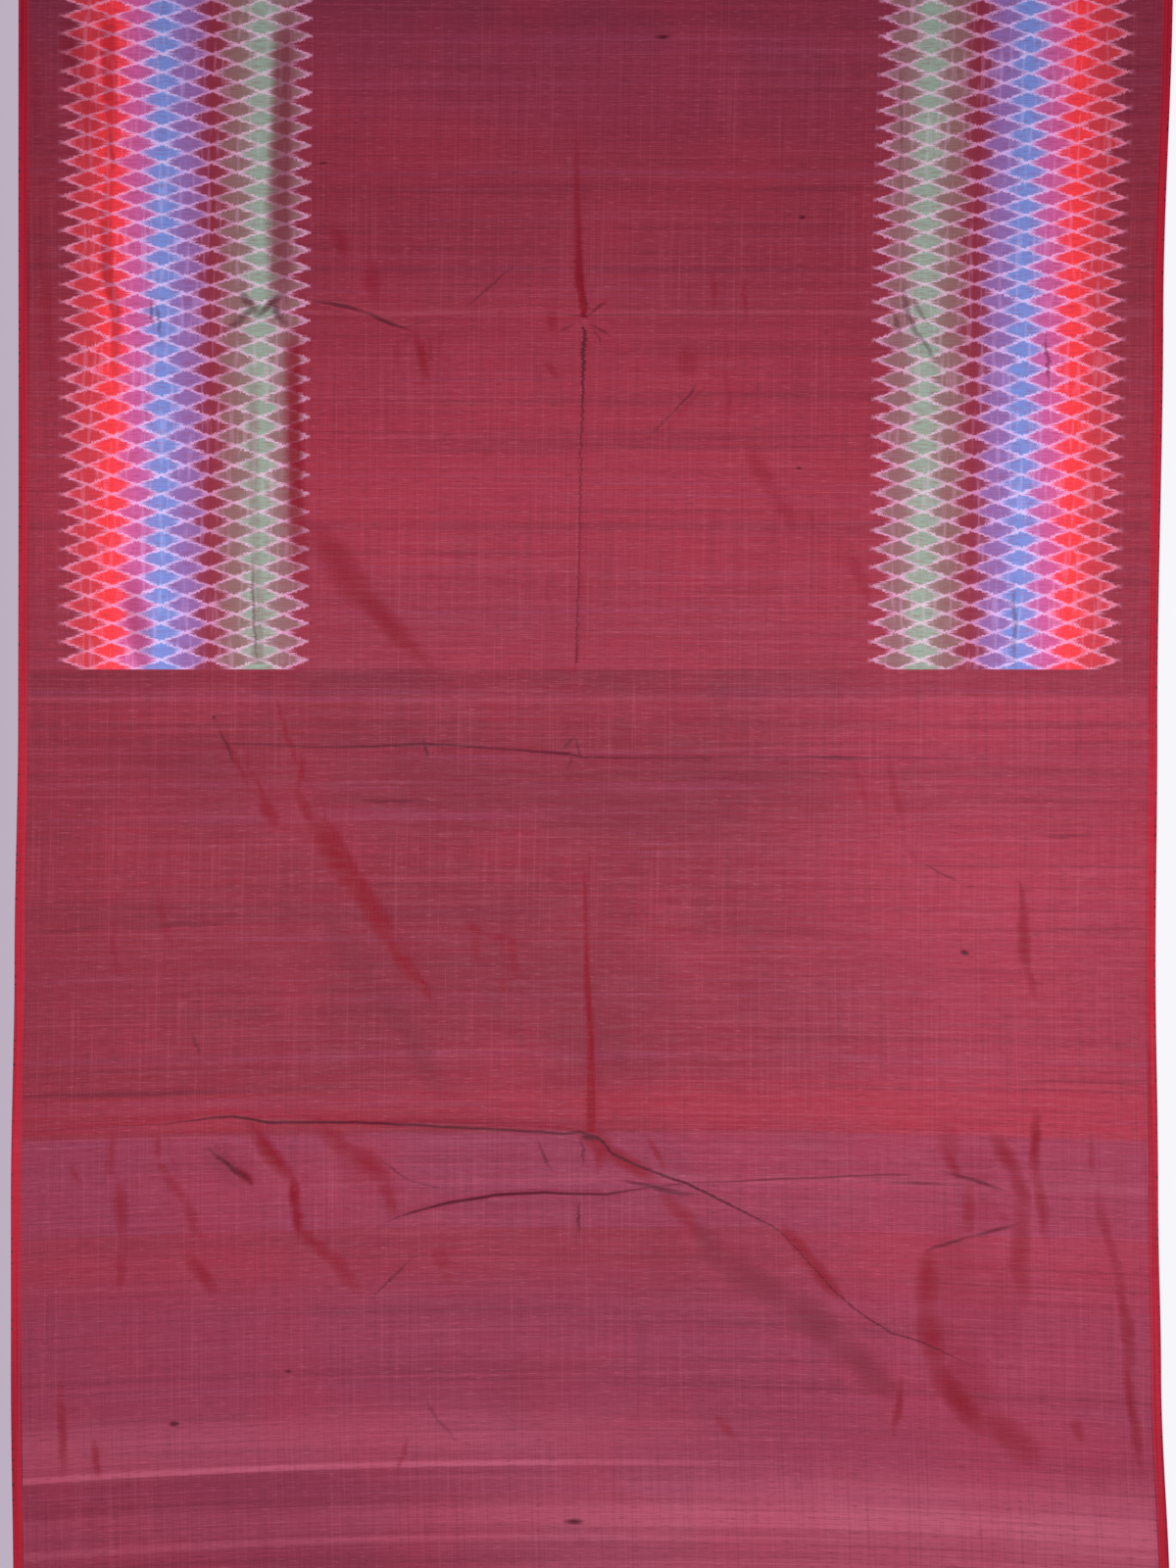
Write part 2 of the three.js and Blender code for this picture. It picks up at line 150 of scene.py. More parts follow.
SLANTING_CREASES = [
    (4, -1184, 60, -1207, 3.0, 9, 30, -1), (60, -1207, 118, -1240, 2.6, 8, 34, -1),
    (118, -1240, 198, -1288, 2.2, 5, 36, -1), (198, -1288, 232, -1330, 2.6, 9, 34, -1),
    (232, -1330, 300, -1370, 2.0, 5, 32, -1), (300, -1370, 373, -1413, 1.6, 5, 26, -1),
    (104, -1252, 150, -1322, 1.8, 12, 40, -1), (150, -1322, 205, -1372, 1.2, 14, 44, -1),
    (-285, -565, -252, -630, 1.8, 13, 34, -1), (-252, -630, -215, -680, 2.2, 14, 36, -1),
    (-215, -680, -165, -708, 1.8, 9, 34, -1), (-374, -783, -350, -815, 2.0, 6, 22, -1),
    (-350, -815, -327, -862, 1.4, 8, 22, -1), (-304, -800, -280, -852, 1.6, 8, 30, 1),
    (-280, -852, -236, -930, 2.6, 12, 40, 1), (-236, -930, -196, -985, 2.2, 9, 40, 1),
    (-196, -985, -165, -1042, 1.8, 8, 34, 1), (-347, -1181, -306, -1232, 2.6, 9, 26, -1),
    (-306, -1232, -298, -1284, 2.2, 7, 24, 1), (-290, -1290, -232, -1346, 1.6, 12, 30, -1),
    (-268, -1183, -210, -1234, 1.8, 17, 30, 1), (-214, -1234, -200, -1270, 1.4, 8, 20, 1),
    (-383, -1200, -346, -1234, 1.4, 3, 14, 1), (-402, -1318, -388, -1360, 1.6, 8, 22, -1),
    (-430, -1296, -402, -1318, 1.0, 8, 20, -1), (-484, -1236, -476, -1300, 1.0, 10, 26, 1),
    (-432, -1190, -424, -1225, 1.0, 5, 14, 1), (-540, -1500, -536, -1440, 1.0, 8, 22, 1),
    (-506, -1530, -500, -1470, 1.0, 8, 22, 1), (-122, -974, -96, -984, 1.6, 7, 18, -1),
    (-96, -984, -84, -1018, 1.6, 6, 18, 1), (-128, -1002, -96, -1040, 1.2, 9, 22, -1),
    (-440, -940, -432, -1030, 0.8, 9, 24, 1), (443, -962, 446, -1042, 1.8, 8, 24, 1),
    (360, -1186, 380, -1226, 1.6, 10, 22, -1), (384, -1200, 400, -1236, 1.2, 8, 20, -1),
    (434, -1188, 436, -1240, 1.4, 10, 20, 1), (436, -1240, 420, -1296, 1.2, 10, 22, 1),
    (420, -1278, 372, -1290, 1.2, 9, 22, -1), (352, -1296, 340, -1380, 1.6, 13, 26, -1),
    (340, -1380, 372, -1430, 1.2, 11, 26, -1), (372, -1430, 418, -1500, 2.0, 13, 28, -1),
    (311, -1420, 309, -1500, 1.2, 8, 24, 1), (531, -1290, 546, -1390, 1.4, 10, 26, 1),
    (546, -1390, 556, -1470, 1.6, 8, 26, 1), (460, -1186, 456, -1240, 1.0, 7, 18, 1),
    (538, -1300, 520, -1460, 0.8, 12, 26, -1), (-152, -1300, -142, -1322, 1.4, 6, 14, -1),
    (-214, -1346, -180, -1312, 0.8, 3, 12, 1), (-106, -1196, -96, -1222, 0.9, 3, 12, 1),
    (88, -1186, 106, -1214, 0.9, 3, 12, 1), (-20, -1190, -20, -1216, 0.9, 3, 10, 1),
    (-242, -258, -222, -300, 1.4, 9, 26, 1), (-180, -368, -170, -412, 1.2, 6, 18, 1),
    (-282, -336, -187, -362, 1.6, 5, 18, 1), (-166, -356, -140, -420, 0.8, 6, 16, 1),
    (76, -464, 118, -418, 0.9, 3, 14, 1), (140, -406, 144, -470, 1.0, 4, 18, 1),
    (170, -478, 210, -545, 1.0, 9, 26, -1), (256, -580, 286, -640, 0.9, 8, 22, -1),
    (-240, -700, -312, -740, 0.9, 8, 22, -1), (282, -800, 300, -860, 0.9, 8, 22, -1),
    (-517, -30, -515, -200, 1.2, 10, 22, 1), (-489, -30, -486, -320, 1.6, 6, 26, -1),
    (-324, -30, -318, -346, 2.0, 9, 30, 1), (-346, -560, -344, -706, 1.4, 8, 26, -1),
    (-466, -380, -470, -470, 0.8, 7, 22, 1), (458, -60, 457, -200, 1.2, 8, 26, 1),
    (457, -200, 461, -344, 1.0, 8, 26, 1), (318, -236, 314, -352, 1.4, 7, 24, 1),
    (434, -612, 431, -706, 1.2, 8, 24, 1), (524, -330, 520, -440, 0.8, 8, 22, 1),
]
# Painted shade at the creases, in millimetres: each mark is a spindle from (x0, z0) to (x1, z1) and width
# across at its middle, where it is strongest.
MARK_COLUMNS = ("x0", "z0", "x1", "z1", "width", "strength")
# Crimson painted shade: the shot silk's crimson where a crease turns it away from the sheen.
CRIMSON_CREASE_SHADES = [
    (-535, -48, -520, -113, 18, 0.45), (-514, -86, -510, -188, 20, 0.3), (-495, -148, -486, -206, 5, 0.55),
    (-560, -251, -550, -420, 9, 0.35), (-566, -73, -564, -162, 8, 0.25), (-468, -614, -456, -712, 17, 0.45),
    (-263, -258, -243, -294, 11, 0.45), (-223, -290, -220, -337, 12, 0.45),
    (-176, -366, -168, -414, 8, 0.75), (-164, -373, -162, -402, 4, 0.45), (-151, -363, -154, -394, 4, 0.35),
    (-198, -373, -198, -404, 5, 0.3), (-38, -343, -35, -369, 9, 0.55), (-45, -396, -32, -414, 6, 0.5),
    (-94, -344, -90, -350, 7, 0.35), (-286, -560, -217, -656, 24, 0.62), (-250, -618, -166, -704, 17, 0.8),
    (-198, -668, -165, -708, 7, 0.7), (-306, -718, -302, -740, 7, 0.25), (126, -304, 126, -344, 6, 0.5),
    (158, -312, 158, -352, 4, 0.5), (98, -380, 102, -412, 20, 0.45), (158, -486, 188, -532, 12, 0.42),
    (184, -526, 210, -568, 12, 0.34), (138, -363, 140, -480, 4, 0.28), (224, -548, 234, -576, 6, 0.3),
    (263, -583, 284, -640, 10, 0.38), (-321, -740, -300, -806, 5, 0.6), (-294, -798, -299, -840, 6, 0.6),
    (-300, -834, -278, -874, 8, 0.75), (-286, -856, -230, -948, 19, 0.95),
    (-250, -908, -198, -1000, 17, 0.95), (-210, -978, -174, -1036, 12, 0.9),
    (-186, -1022, -164, -1036, 5, 0.8), (-171, -1034, -164, -1050, 7, 0.6),
    (-377, -770, -350, -834, 4, 0.6), (-336, -838, -321, -870, 10, 0.75), (-345, -819, -329, -844, 4, 0.6),
    (-351, -788, -353, -816, 4, 0.4), (-125, -968, -110, -984, 8, 0.65), (-114, -981, -78, -985, 5, 0.6),
    (-80, -981, -75, -1024, 7, 0.65), (-118, -978, -118, -1008, 6, 0.45), (-90, -1026, -85, -1038, 9, 0.45),
    (-442, -938, -427, -992, 7, 0.5), (-485, -966, -485, -1024, 4, 0.4), (436, -924, 443, -968, 5, 0.55),
    (441, -948, 446, -1028, 9, 0.75), (446, -1013, 452, -1048, 6, 0.5), (303, -802, 320, -870, 7, 0.4),
    (268, -804, 282, -858, 6, 0.35), (323, -886, 336, -908, 6, 0.3), (-349, -1178, -302, -1234, 13, 1),
    (-304, -1226, -298, -1268, 9, 0.9), (-300, -1256, -294, -1288, 9, 0.85),
    (-298, -1280, -262, -1316, 11, 0.7), (-272, -1302, -234, -1348, 12, 0.6),
    (-276, -1174, -238, -1212, 17, 0.7), (-248, -1196, -206, -1236, 18, 0.75),
    (-214, -1228, -200, -1268, 11, 0.65), (-361, -1220, -346, -1236, 7, 0.75),
    (-489, -1184, -489, -1228, 7, 0.5), (-442, -1184, -441, -1210, 6, 0.5),
    (-440, -1216, -428, -1226, 6, 0.6), (-434, -1220, -412, -1256, 9, 0.5),
    (-418, -1246, -396, -1290, 10, 0.45), (-532, -1218, -522, -1236, 5, 0.45),
    (-481, -1236, -476, -1290, 11, 0.6), (-479, -1306, -479, -1344, 9, 0.5),
    (-412, -1308, -384, -1346, 11, 0.62), (-540, -1438, -538, -1534, 7, 0.6),
    (-505, -1496, -503, -1534, 6, 0.6), (-156, -1300, -146, -1324, 11, 0.6),
    (-150, -1326, -140, -1336, 8, 0.45), (-6, -1178, 24, -1214, 18, 0.85), (6, -1186, 11, -1224, 8, 0.8),
    (12, -1198, 66, -1232, 13, 0.9), (198, -1280, 230, -1324, 10, 0.8), (220, -1310, 256, -1354, 11, 0.9),
    (56, -1186, 76, -1222, 5, 0.6), (74, -1246, 110, -1284, 12, 0.6), (314, -1433, 313, -1490, 6, 0.7),
    (366, -1178, 368, -1214, 16, 0.5), (360, -1194, 378, -1232, 9, 0.7), (412, -1184, 440, -1232, 13, 0.75),
    (432, -1218, 446, -1264, 12, 0.65), (454, -1162, 455, -1230, 9, 0.85),
    (454, -1224, 468, -1296, 9, 0.65), (387, -1228, 387, -1292, 12, 0.65),
    (438, -1246, 440, -1362, 16, 0.6), (350, -1304, 340, -1368, 20, 0.75),
    (342, -1358, 356, -1428, 20, 0.8), (350, -1416, 404, -1492, 22, 0.85),
    (398, -1468, 458, -1518, 24, 0.6), (408, -1264, 432, -1278, 9, 0.4), (518, -1246, 542, -1338, 9, 0.5),
    (538, -1318, 554, -1438, 9, 0.62), (548, -1408, 562, -1524, 9, 0.7), (511, -1186, 513, -1228, 6, 0.45),
    (494, -1476, 504, -1498, 10, 0.5), (126, -1472, 150, -1498, 7, 0.45),
    (-195, -1528, -186, -1494, 4, 0.45), (-42, -618, -36, -668, 5, 0.25),
    (372, -1272, 368, -1384, 44, 0.34), (366, -1366, 404, -1500, 38, 0.36),
    (392, -1188, 404, -1290, 36, 0.26), (404, -1296, 424, -1420, 40, 0.24),
    (-262, -1180, -214, -1246, 30, 0.30),
]
# Dark painted shade along thin fold lines; the short strong ones that stand alone are dark specks.
DARK_SHADES_AND_SPECKS = [
    (-281, -335, -224, -348, 3, 0.85), (-232, -346, -184, -365, 3.2, 0.85), (-6, -363, -6, -422, 3.6, 0.85),
    (-276, -194, -268, -194, 2.2, 0.7), (-125, -340, -78, -301, 2.4, 0.5), (109, -420, 84, -451, 2.6, 0.6),
    (88, -446, 60, -475, 2.2, 0.45), (-448, -334, -444, -360, 3, 0.55), (-441, -340, -436, -370, 3, 0.55),
    (-344, -600, -342, -700, 3, 0.55), (-358, -326, -338, -348, 7, 0.75), (-342, -352, -312, -326, 6, 0.8),
    (-328, -334, -308, -360, 6, 0.7), (-364, -356, -338, -338, 6, 0.65), (-374, -366, -350, -348, 6, 0.6),
    (466, -368, 467, -422, 3, 0.6), (317, -73, 317, -228, 2.6, 0.35), (317, -320, 335, -382, 5, 0.55),
    (324, -358, 352, -394, 5, 0.55), (310, -346, 316, -370, 4, 0.5), (328, -334, 346, -358, 4, 0.45),
    (432, -616, 434, -712, 4, 0.45), (-387, -1201, -347, -1235, 3.6, 0.85),
    (-368, -1214, -346, -1236, 3.4, 0.6), (-54, -1191, -40, -1222, 2.8, 0.65),
    (-10, -1188, -9, -1218, 2.8, 0.65), (-11, -1254, -11, -1286, 3.4, 0.75),
    (31, -1233, 98, -1245, 3.2, 0.8), (62, -1241, 110, -1248, 3, 0.75), (342, -1305, 390, -1288, 3, 0.75),
    (383, -1291, 436, -1278, 2.8, 0.65), (360, -1223, 426, -1243, 3, 0.7),
    (309, -1234, 368, -1237, 2.4, 0.5), (-213, -1212, -184, -1232, 2.4, 0.5),
    (-190, -1230, -146, -1244, 2, 0.4), (-181, -1311, -223, -1352, 2.2, 0.55),
    (-238, -844, -162, -847, 3, 0.45), (-169, -782, -165, -803, 3, 0.7), (-578, -979, -472, -975, 4, 0.3),
    (-482, -976, -364, -968, 4, 0.35), (-578, -1147, -364, -1142, 3.2, 0.28),
    (456, -976, 572, -976, 3, 0.3), (419, -1133, 572, -1132, 3.4, 0.28), (458, -881, 510, -881, 3, 0.35),
    (-407, -1082, -399, -1104, 3.2, 0.5), (342, -910, 376, -930, 2.2, 0.45),
    (-30, -793, -18, -780, 2.6, 0.6), (-18, -780, -6, -802, 2.6, 0.6), (-18, -798, -24, -814, 2.4, 0.5),
    (-377, -769, -364, -810, 2.8, 0.65), (-2, -350, 16, -336, 2.6, 0.55), (-2, -358, 20, -370, 2.6, 0.5),
    (-14, -358, -30, -368, 2.4, 0.45), (2, -364, 10, -380, 2.2, 0.45), (0, -344, -6, -330, 2.4, 0.5),
    (-169, -1452, -136, -1502, 3, 0.35), (110, -800, 122, -804, 3, 0.5), (216, -800, 282, -802, 3, 0.65),
    (68, -66, 82, -66, 3.4, 0.95), (212, -249, 220, -249, 3, 0.95), (210, -506, 216, -506, 2.4, 0.9),
    (-27, -1580, -5, -1581, 4, 0.95), (-428, -1480, -418, -1481, 4.4, 0.9), (382, -999, 389, -1000, 4.6, 1),
    (-388, -758, -383, -759, 3, 0.8), (574, -480, 581, -481, 3.4, 0.9), (-312, -1426, -304, -1427, 3, 0.8),
    (-10, -1188, 10, -1190, 5, 0.85),
]
# Soft mauve painted shade beside the creases.
MAUVE_SHADES = [
    (-270, -962, -216, -1046, 24, 0.42), (-228, -1032, -182, -1082, 20, 0.5),
    (-192, -1070, -148, -1150, 18, 0.42), (-108, -1032, -64, -1100, 16, 0.3),
    (98, -1266, 140, -1328, 20, 0.6), (128, -1312, 210, -1362, 26, 0.62),
    (194, -1346, 260, -1400, 26, 0.65), (244, -1386, 310, -1452, 24, 0.62),
    (38, -1278, 118, -1358, 40, 0.25), (-42, -1028, 38, -1108, 60, 0.2), (-542, -788, -302, -818, 40, 0.3),
    (-392, -1198, -342, -1238, 26, 0.35), (38, -798, 258, -828, 34, 0.3), (-222, -808, -82, -828, 30, 0.35),
    (-42, -848, 178, -878, 34, 0.25), (-102, -1428, -42, -1468, 50, 0.25),
]

# Painted shade along long folds, each a line through points of x, z, how strong it is there, and its width.
# The cross folds run across the cloth and the others down it.
# Dark lines of painted shade along the folds across the cloth.
CROSS_FOLD_SHADES = [
    [
        (-281, -347, 0.0, 1.6), (-240, -348, 0.1, 1.6), (-187, -362, 0.3, 2.0), (-150, -350, 0.15, 1.6),
        (-40, -347, 0.25, 2.0), (-8, -350, 0.5, 2.4), (20, -349, 0.35, 2.0), (150, -350, 0.22, 1.8),
        (300, -351, 0.12, 1.6), (458, -352, 0.0, 1.6),
    ],
    [
        (-376, -786, 0.3, 2.2), (-340, -788, 0.35, 2.4), (-258, -791, 0.55, 3.0), (-167, -787, 0.75, 3.2),
        (-90, -792, 0.6, 3.2), (-21, -797, 0.8, 3.4), (-8, -801, 0.6, 2.8), (93, -801, 0.4, 2.4),
        (219, -801, 0.35, 2.2), (280, -801, 0.45, 2.2), (428, -803, 0.0, 1.8),
    ],
    [
        (-590, -1184, 0.1, 1.6), (-436, -1175, 0.3, 1.8), (-400, -1171, 0.75, 2.4), (-365, -1167, 0.9, 3.0),
        (-329, -1173, 0.95, 3.4), (-242, -1173, 0.9, 3.0), (-132, -1179, 0.85, 3.0), (-25, -1185, 0.8, 3.0),
        (-9, -1183, 0.8, 3.6), (11, -1191, 0.95, 5.0), (23, -1206, 0.9, 4.4), (44, -1216, 0.85, 3.4),
        (76, -1228, 0.85, 3.0), (97, -1235, 0.95, 3.2), (138, -1255, 0.9, 3.0), (174, -1273, 0.7, 2.4),
        (195, -1285, 0.55, 2.2), (223, -1316, 0.6, 2.4), (252, -1348, 0.65, 2.6), (284, -1373, 0.7, 2.6),
        (309, -1389, 0.65, 2.4), (338, -1397, 0.7, 2.4), (366, -1410, 0.5, 2.2), (396, -1424, 0.0, 1.8),
    ],
    [
        (-210, -1275, 0.3, 1.6), (-183, -1266, 0.8, 2.6), (-143, -1255, 0.9, 3.6), (-96, -1248, 0.95, 3.6),
        (-48, -1245, 0.9, 3.2), (18, -1247, 0.8, 3.0), (60, -1240, 0.5, 2.2), (97, -1235, 0.4, 2.0),
        (154, -1233, 0.6, 2.2), (219, -1230, 0.55, 2.2), (309, -1226, 0.6, 2.2), (330, -1226, 0.0, 1.8),
    ],
]
# Crimson painted shade where folds down the cloth turn it away from the sheen.
SOFT_FOLD_SHADES = [
    [(-493, -25, 0.0, 12), (-491, -60, 0.5, 18), (-490, -130, 0.5, 16), (-489, -200, 0.2, 10),
     (-494, -250, 0.4, 14), (-492, -310, 0.6, 14), (-484, -345, 0.5, 12), (-484, -395, 0.3, 10),
     (-484, -430, 0.0, 8)],
    [(-303, -352, 0.0, 12), (-303, -384, 0.8, 18), (-302, -460, 0.9, 18), (-300, -545, 0.85, 20),
     (-297, -600, 0.5, 22), (-294, -650, 0.0, 20)],
    [(-14, -140, 0.0, 3), (-14, -206, 0.5, 6), (-12, -270, 0.7, 8), (-11, -314, 1.0, 11), (-5, -352, 0.9, 7)],
    [(-8, -880, 0.0, 3), (-5, -950, 0.6, 4), (-3, -1010, 0.8, 5), (0, -1078, 0.95, 8), (1, -1183, 1.0, 11)],
]
# A dark line of painted shade along the middle fold.
SHARP_FOLD_SHADES = [
    [(-6, -362, 0.9, 3.6), (-7, -420, 0.8, 3.2), (-9, -480, 0.5, 2.4), (-11, -599, 0.5, 2.4),
     (-14, -705, 0.6, 3)],
]
# Mauve painted shade in strips beside folds.
SHADED_DOWN_FOLDS = [
    [(-309, -35, 0.0, 16), (-313, -75, 0.7, 24), (-314, -150, 0.75, 24), (-317, -230, 0.75, 27),
     (-316, -300, 0.7, 27), (-318, -350, 0.2, 22)],
    [(-343, -395, 0.0, 10), (-344, -440, 0.3, 12), (-343, -530, 0.3, 12), (-341, -590, 0.2, 10),
     (-338, -640, 0.3, 12), (-339, -706, 0.4, 16)],
]
# Stars of small puckers where two folds cross: the centre, how many rays, their length and their depth
PUCKER_COLUMNS = ("x", "z", "rays", "length", "depth")
PUCKER_STARS = [
    (-4, -350, 7, 42, 1.1), (-320, -344, 6, 38, 1.4), (322, -352, 6, 36, 1.2), (-16, -794, 5, 26, 1.0),
    (-166, -792, 4, 22, 0.9), (-368, -792, 4, 22, 0.9), (4, -1188, 6, 34, 1.3), (-446, -352, 4, 24, 0.8),
]
PUCKER_TURN = 2.4
PUCKER_START = 0.12
PUCKER_SHORTEST = 0.55
PUCKER_LENGTHENS = 0.45
PUCKER_STEEP = 4
PUCKER_GENTLE = 12


def rows_of(columns, table):
    """The table's rows as dictionaries under its column names."""
    return [dict(zip(columns, row)) for row in table]


def pucker_rays(star):
    """The rays of a star as creases, at uneven angles and of uneven lengths."""
    rays = []
    for number in range(star["rays"]):
        angle = PUCKER_TURN * number + star["x"] / 50
        longer = PUCKER_LENGTHENS * math.sin(3.7 * number + star["z"]) ** 2
        length = star["length"] * (PUCKER_SHORTEST + longer)
        places = []
        for distance in (PUCKER_START * length, length):
            places += [star["x"] + distance * math.cos(angle), star["z"] + distance * math.sin(angle)]
        side = 1 if number % 2 else -1
        rays.append((*places, star["depth"], PUCKER_STEEP, PUCKER_GENTLE, side))
    return rays


EDGES = rows_of(EDGE_COLUMNS, EDGE_SECTIONS)
LAYERS = rows_of(LAYER_COLUMNS, REAR_LAYERS)
PUCKERS = [ray for star in rows_of(PUCKER_COLUMNS, PUCKER_STARS) for ray in pucker_rays(star)]
CREASES = rows_of(CREASE_COLUMNS, STORAGE_FOLDS + SLANTING_CREASES + PUCKERS)


def smooth(low, high, value):
    """The smooth step from 0 at low to 1 at high."""
    t = np.clip((value - low) / (high - low), 0, 1)
    return t * t * (3 - 2 * t)


def mix(a, b, share):
    return a + (b - a) * share


# The shape of the cloth


def edge_at(z, side):
    """The X of a selvedge at height z, eased from one section to the next."""
    x = np.full(np.shape(z), EDGES[0][side])
    for above, below in zip(EDGES, EDGES[1:]):
        share = smooth(0, 1, (above["z"] - z) / (above["z"] - below["z"]))
        x = np.where(z < above["z"], mix(above[side], below[side], share), x)
    return x


def across_at(u, z, width_share):
    left = edge_at(z, "left")
    right = edge_at(z, "right")
    middle = (left + right) / 2
    return middle + (mix(left, right, u / CLOTH_WIDTH) - middle) * width_share


def height_at(u, drop):
    """The height of the weft thread that hangs drop below the middle of the top edge."""
    from_middle = 2 * u / CLOTH_WIDTH - 1
    rise = TOP_CORNER_RISE * (1 - smooth(0, BLOUSE_TOP_DROP, drop))
    fall = HEM_CORNER_DROP * smooth(BLOUSE_TOP_DROP, FRONT_DROP, drop)
    return -drop + (rise - fall) * from_middle**2


def crease_profile(x_mm, z_mm, crease):
    """The share of a crease's depth at each point."""
    run_x = crease["x1"] - crease["x0"]
    run_z = crease["z1"] - crease["z0"]
    length = math.hypot(run_x, run_z)
    along = ((x_mm - crease["x0"]) * run_x + (z_mm - crease["z0"]) * run_z) / length
    past = np.maximum(0, np.maximum(-along, along - length))
    normal_x, normal_z = run_z / length, -run_x / length
    faces = normal_z if abs(normal_x) < LEVEL_CREASE else normal_x
    if faces < 0:
        normal_x, normal_z = -normal_x, -normal_z
    offset = (x_mm - crease["x0"]) * normal_x + (z_mm - crease["z0"]) * normal_z
    offset = offset * crease["side"]
    width = np.where(offset > 0, crease["steep"], crease["gentle"])
    rounded = np.sqrt(offset**2 + CREASE_ROUNDING**2) - CREASE_ROUNDING
    ends = np.exp(-((past / (CREASE_END_SHARE * crease["steep"] + CREASE_END)) ** 2))
    return np.exp(-rounded / width) * ends


def crease_relief(x, z):
    """How deep the creases are at each point, in metres. They wander a little off their straight lines."""
    x_mm = 1000 * x + 2.2 * np.sin(z / 0.041 + 1.3) + 1.2 * np.sin(z / 0.017 + x / 0.05)
    z_mm = 1000 * z + 1.6 * np.sin(x / 0.047 + 0.6) + 0.8 * np.sin(x / 0.019 - z / 0.06)
    depth = np.zeros(np.shape(x))
    for crease in CREASES:
        reach = CREASE_REACH * crease["gentle"]
        left, right = sorted((crease["x0"], crease["x1"]))
        low, high = sorted((crease["z0"], crease["z1"]))
        near = (x_mm > left - reach) & (x_mm < right + reach)
        near &= (z_mm > low - reach) & (z_mm < high + reach)
        profile = crease_profile(x_mm[near], z_mm[near], crease)
        depth[near] = np.maximum(depth[near], crease["depth"] * profile)
    return RELIEF_SHARE * depth / 1000


def front_depth(x, z):
    swell = np.cos(2 * math.pi * x / SWELL_ACROSS) * np.sin(2 * math.pi * z / SWELL_DOWN)
    return crease_relief(x, z) + SWELL_DEPTH * swell


def rear_wave(x, z, layer):
    long = np.sin(2 * math.pi * x / LONG_WAVE + layer["first_phase"] + z / WAVE_LEAN_LONG)
    short = np.sin(2 * math.pi * x / SHORT_WAVE + layer["second_phase"] - z / WAVE_LEAN_SHORT)
    share = WAVE_MEAN + LONG_WAVE_SHARE * long + SHORT_WAVE_SHARE * short
    return layer["wave"] * smooth(WAVE_START, WAVE_FULL, -z) * share


def layer_depth(index, x, z):
    """Y of layer 0, the front, to 3, the back. The back has the front's creases, mirrored."""
    if index == 0:
        return FRONT_LAYER_Y + front_depth(x, z)
    depth = FRONT_LAYER_Y
    for layer in LAYERS[:index]:
        depth = depth + layer["gap"] + rear_wave(x, z, layer)
    if index == len(LAYERS):
        depth = depth - crease_relief(-x, z)
    return depth


def width_share_at(index, drop):
    if index == 0:
        return np.ones(np.shape(drop))
    layer = LAYERS[index - 1]
    return mix(layer["width_top"], layer["width_bottom"], smooth(0, BOTTOM_FOLD_DROP, drop))


def point_on_layer(index, u, drop):
    z = height_at(u, drop)
    x = across_at(u, z, width_share_at(index, drop))
    return np.stack([x, layer_depth(index, x, z), z], axis=-1)


def point_on_fold(index, turn_drop, direction, u, path):
    """A point of the fold from layer index to the next: down a leg, round half an ellipse, up the other."""
    leg_drop = turn_drop + direction * FOLD_HEIGHT
    turn = np.clip(path / FOLD_HEIGHT, 0, math.pi)
    before_drop = leg_drop - direction * np.minimum(path, 0)
    after_drop = leg_drop + direction * np.maximum(path - math.pi * FOLD_HEIGHT, 0)
    before = point_on_layer(index, u, before_drop)
    after = point_on_layer(index + 1, u, after_drop)
    share = ((1 - np.cos(turn)) / 2)[..., None]
    point = before * (1 - share) + after * share
    point[..., 2] += direction * FOLD_HEIGHT * np.sin(turn)
    return point


# Meshes


def graded_lines(start, end, coarse, fine=None, centres=(), reach=0.0):
    """Grid lines from start to end, coarse apart, and fine apart within reach of each centre."""
    lines = [start]
    while lines[-1] < end:
        near = any(abs(lines[-1] + coarse / 2 - centre) < reach for centre in centres)
        lines.append(lines[-1] + (fine if near else coarse))
    lines[-1] = end
    return np.array(lines)


def normals_of(point_at, u, v):
    along_u = point_at(u + NORMAL_STEP, v) - point_at(u - NORMAL_STEP, v)
    along_v = point_at(u, v + NORMAL_STEP) - point_at(u, v - NORMAL_STEP)
    normal = np.cross(along_u, along_v)
    return normal / np.linalg.norm(normal, axis=-1, keepdims=True)


def kept_lines(count, every):
    """Every so many of the grid's lines, and the last one."""
    kept = list(range(0, count - 1, every))
    return kept + [count - 1]


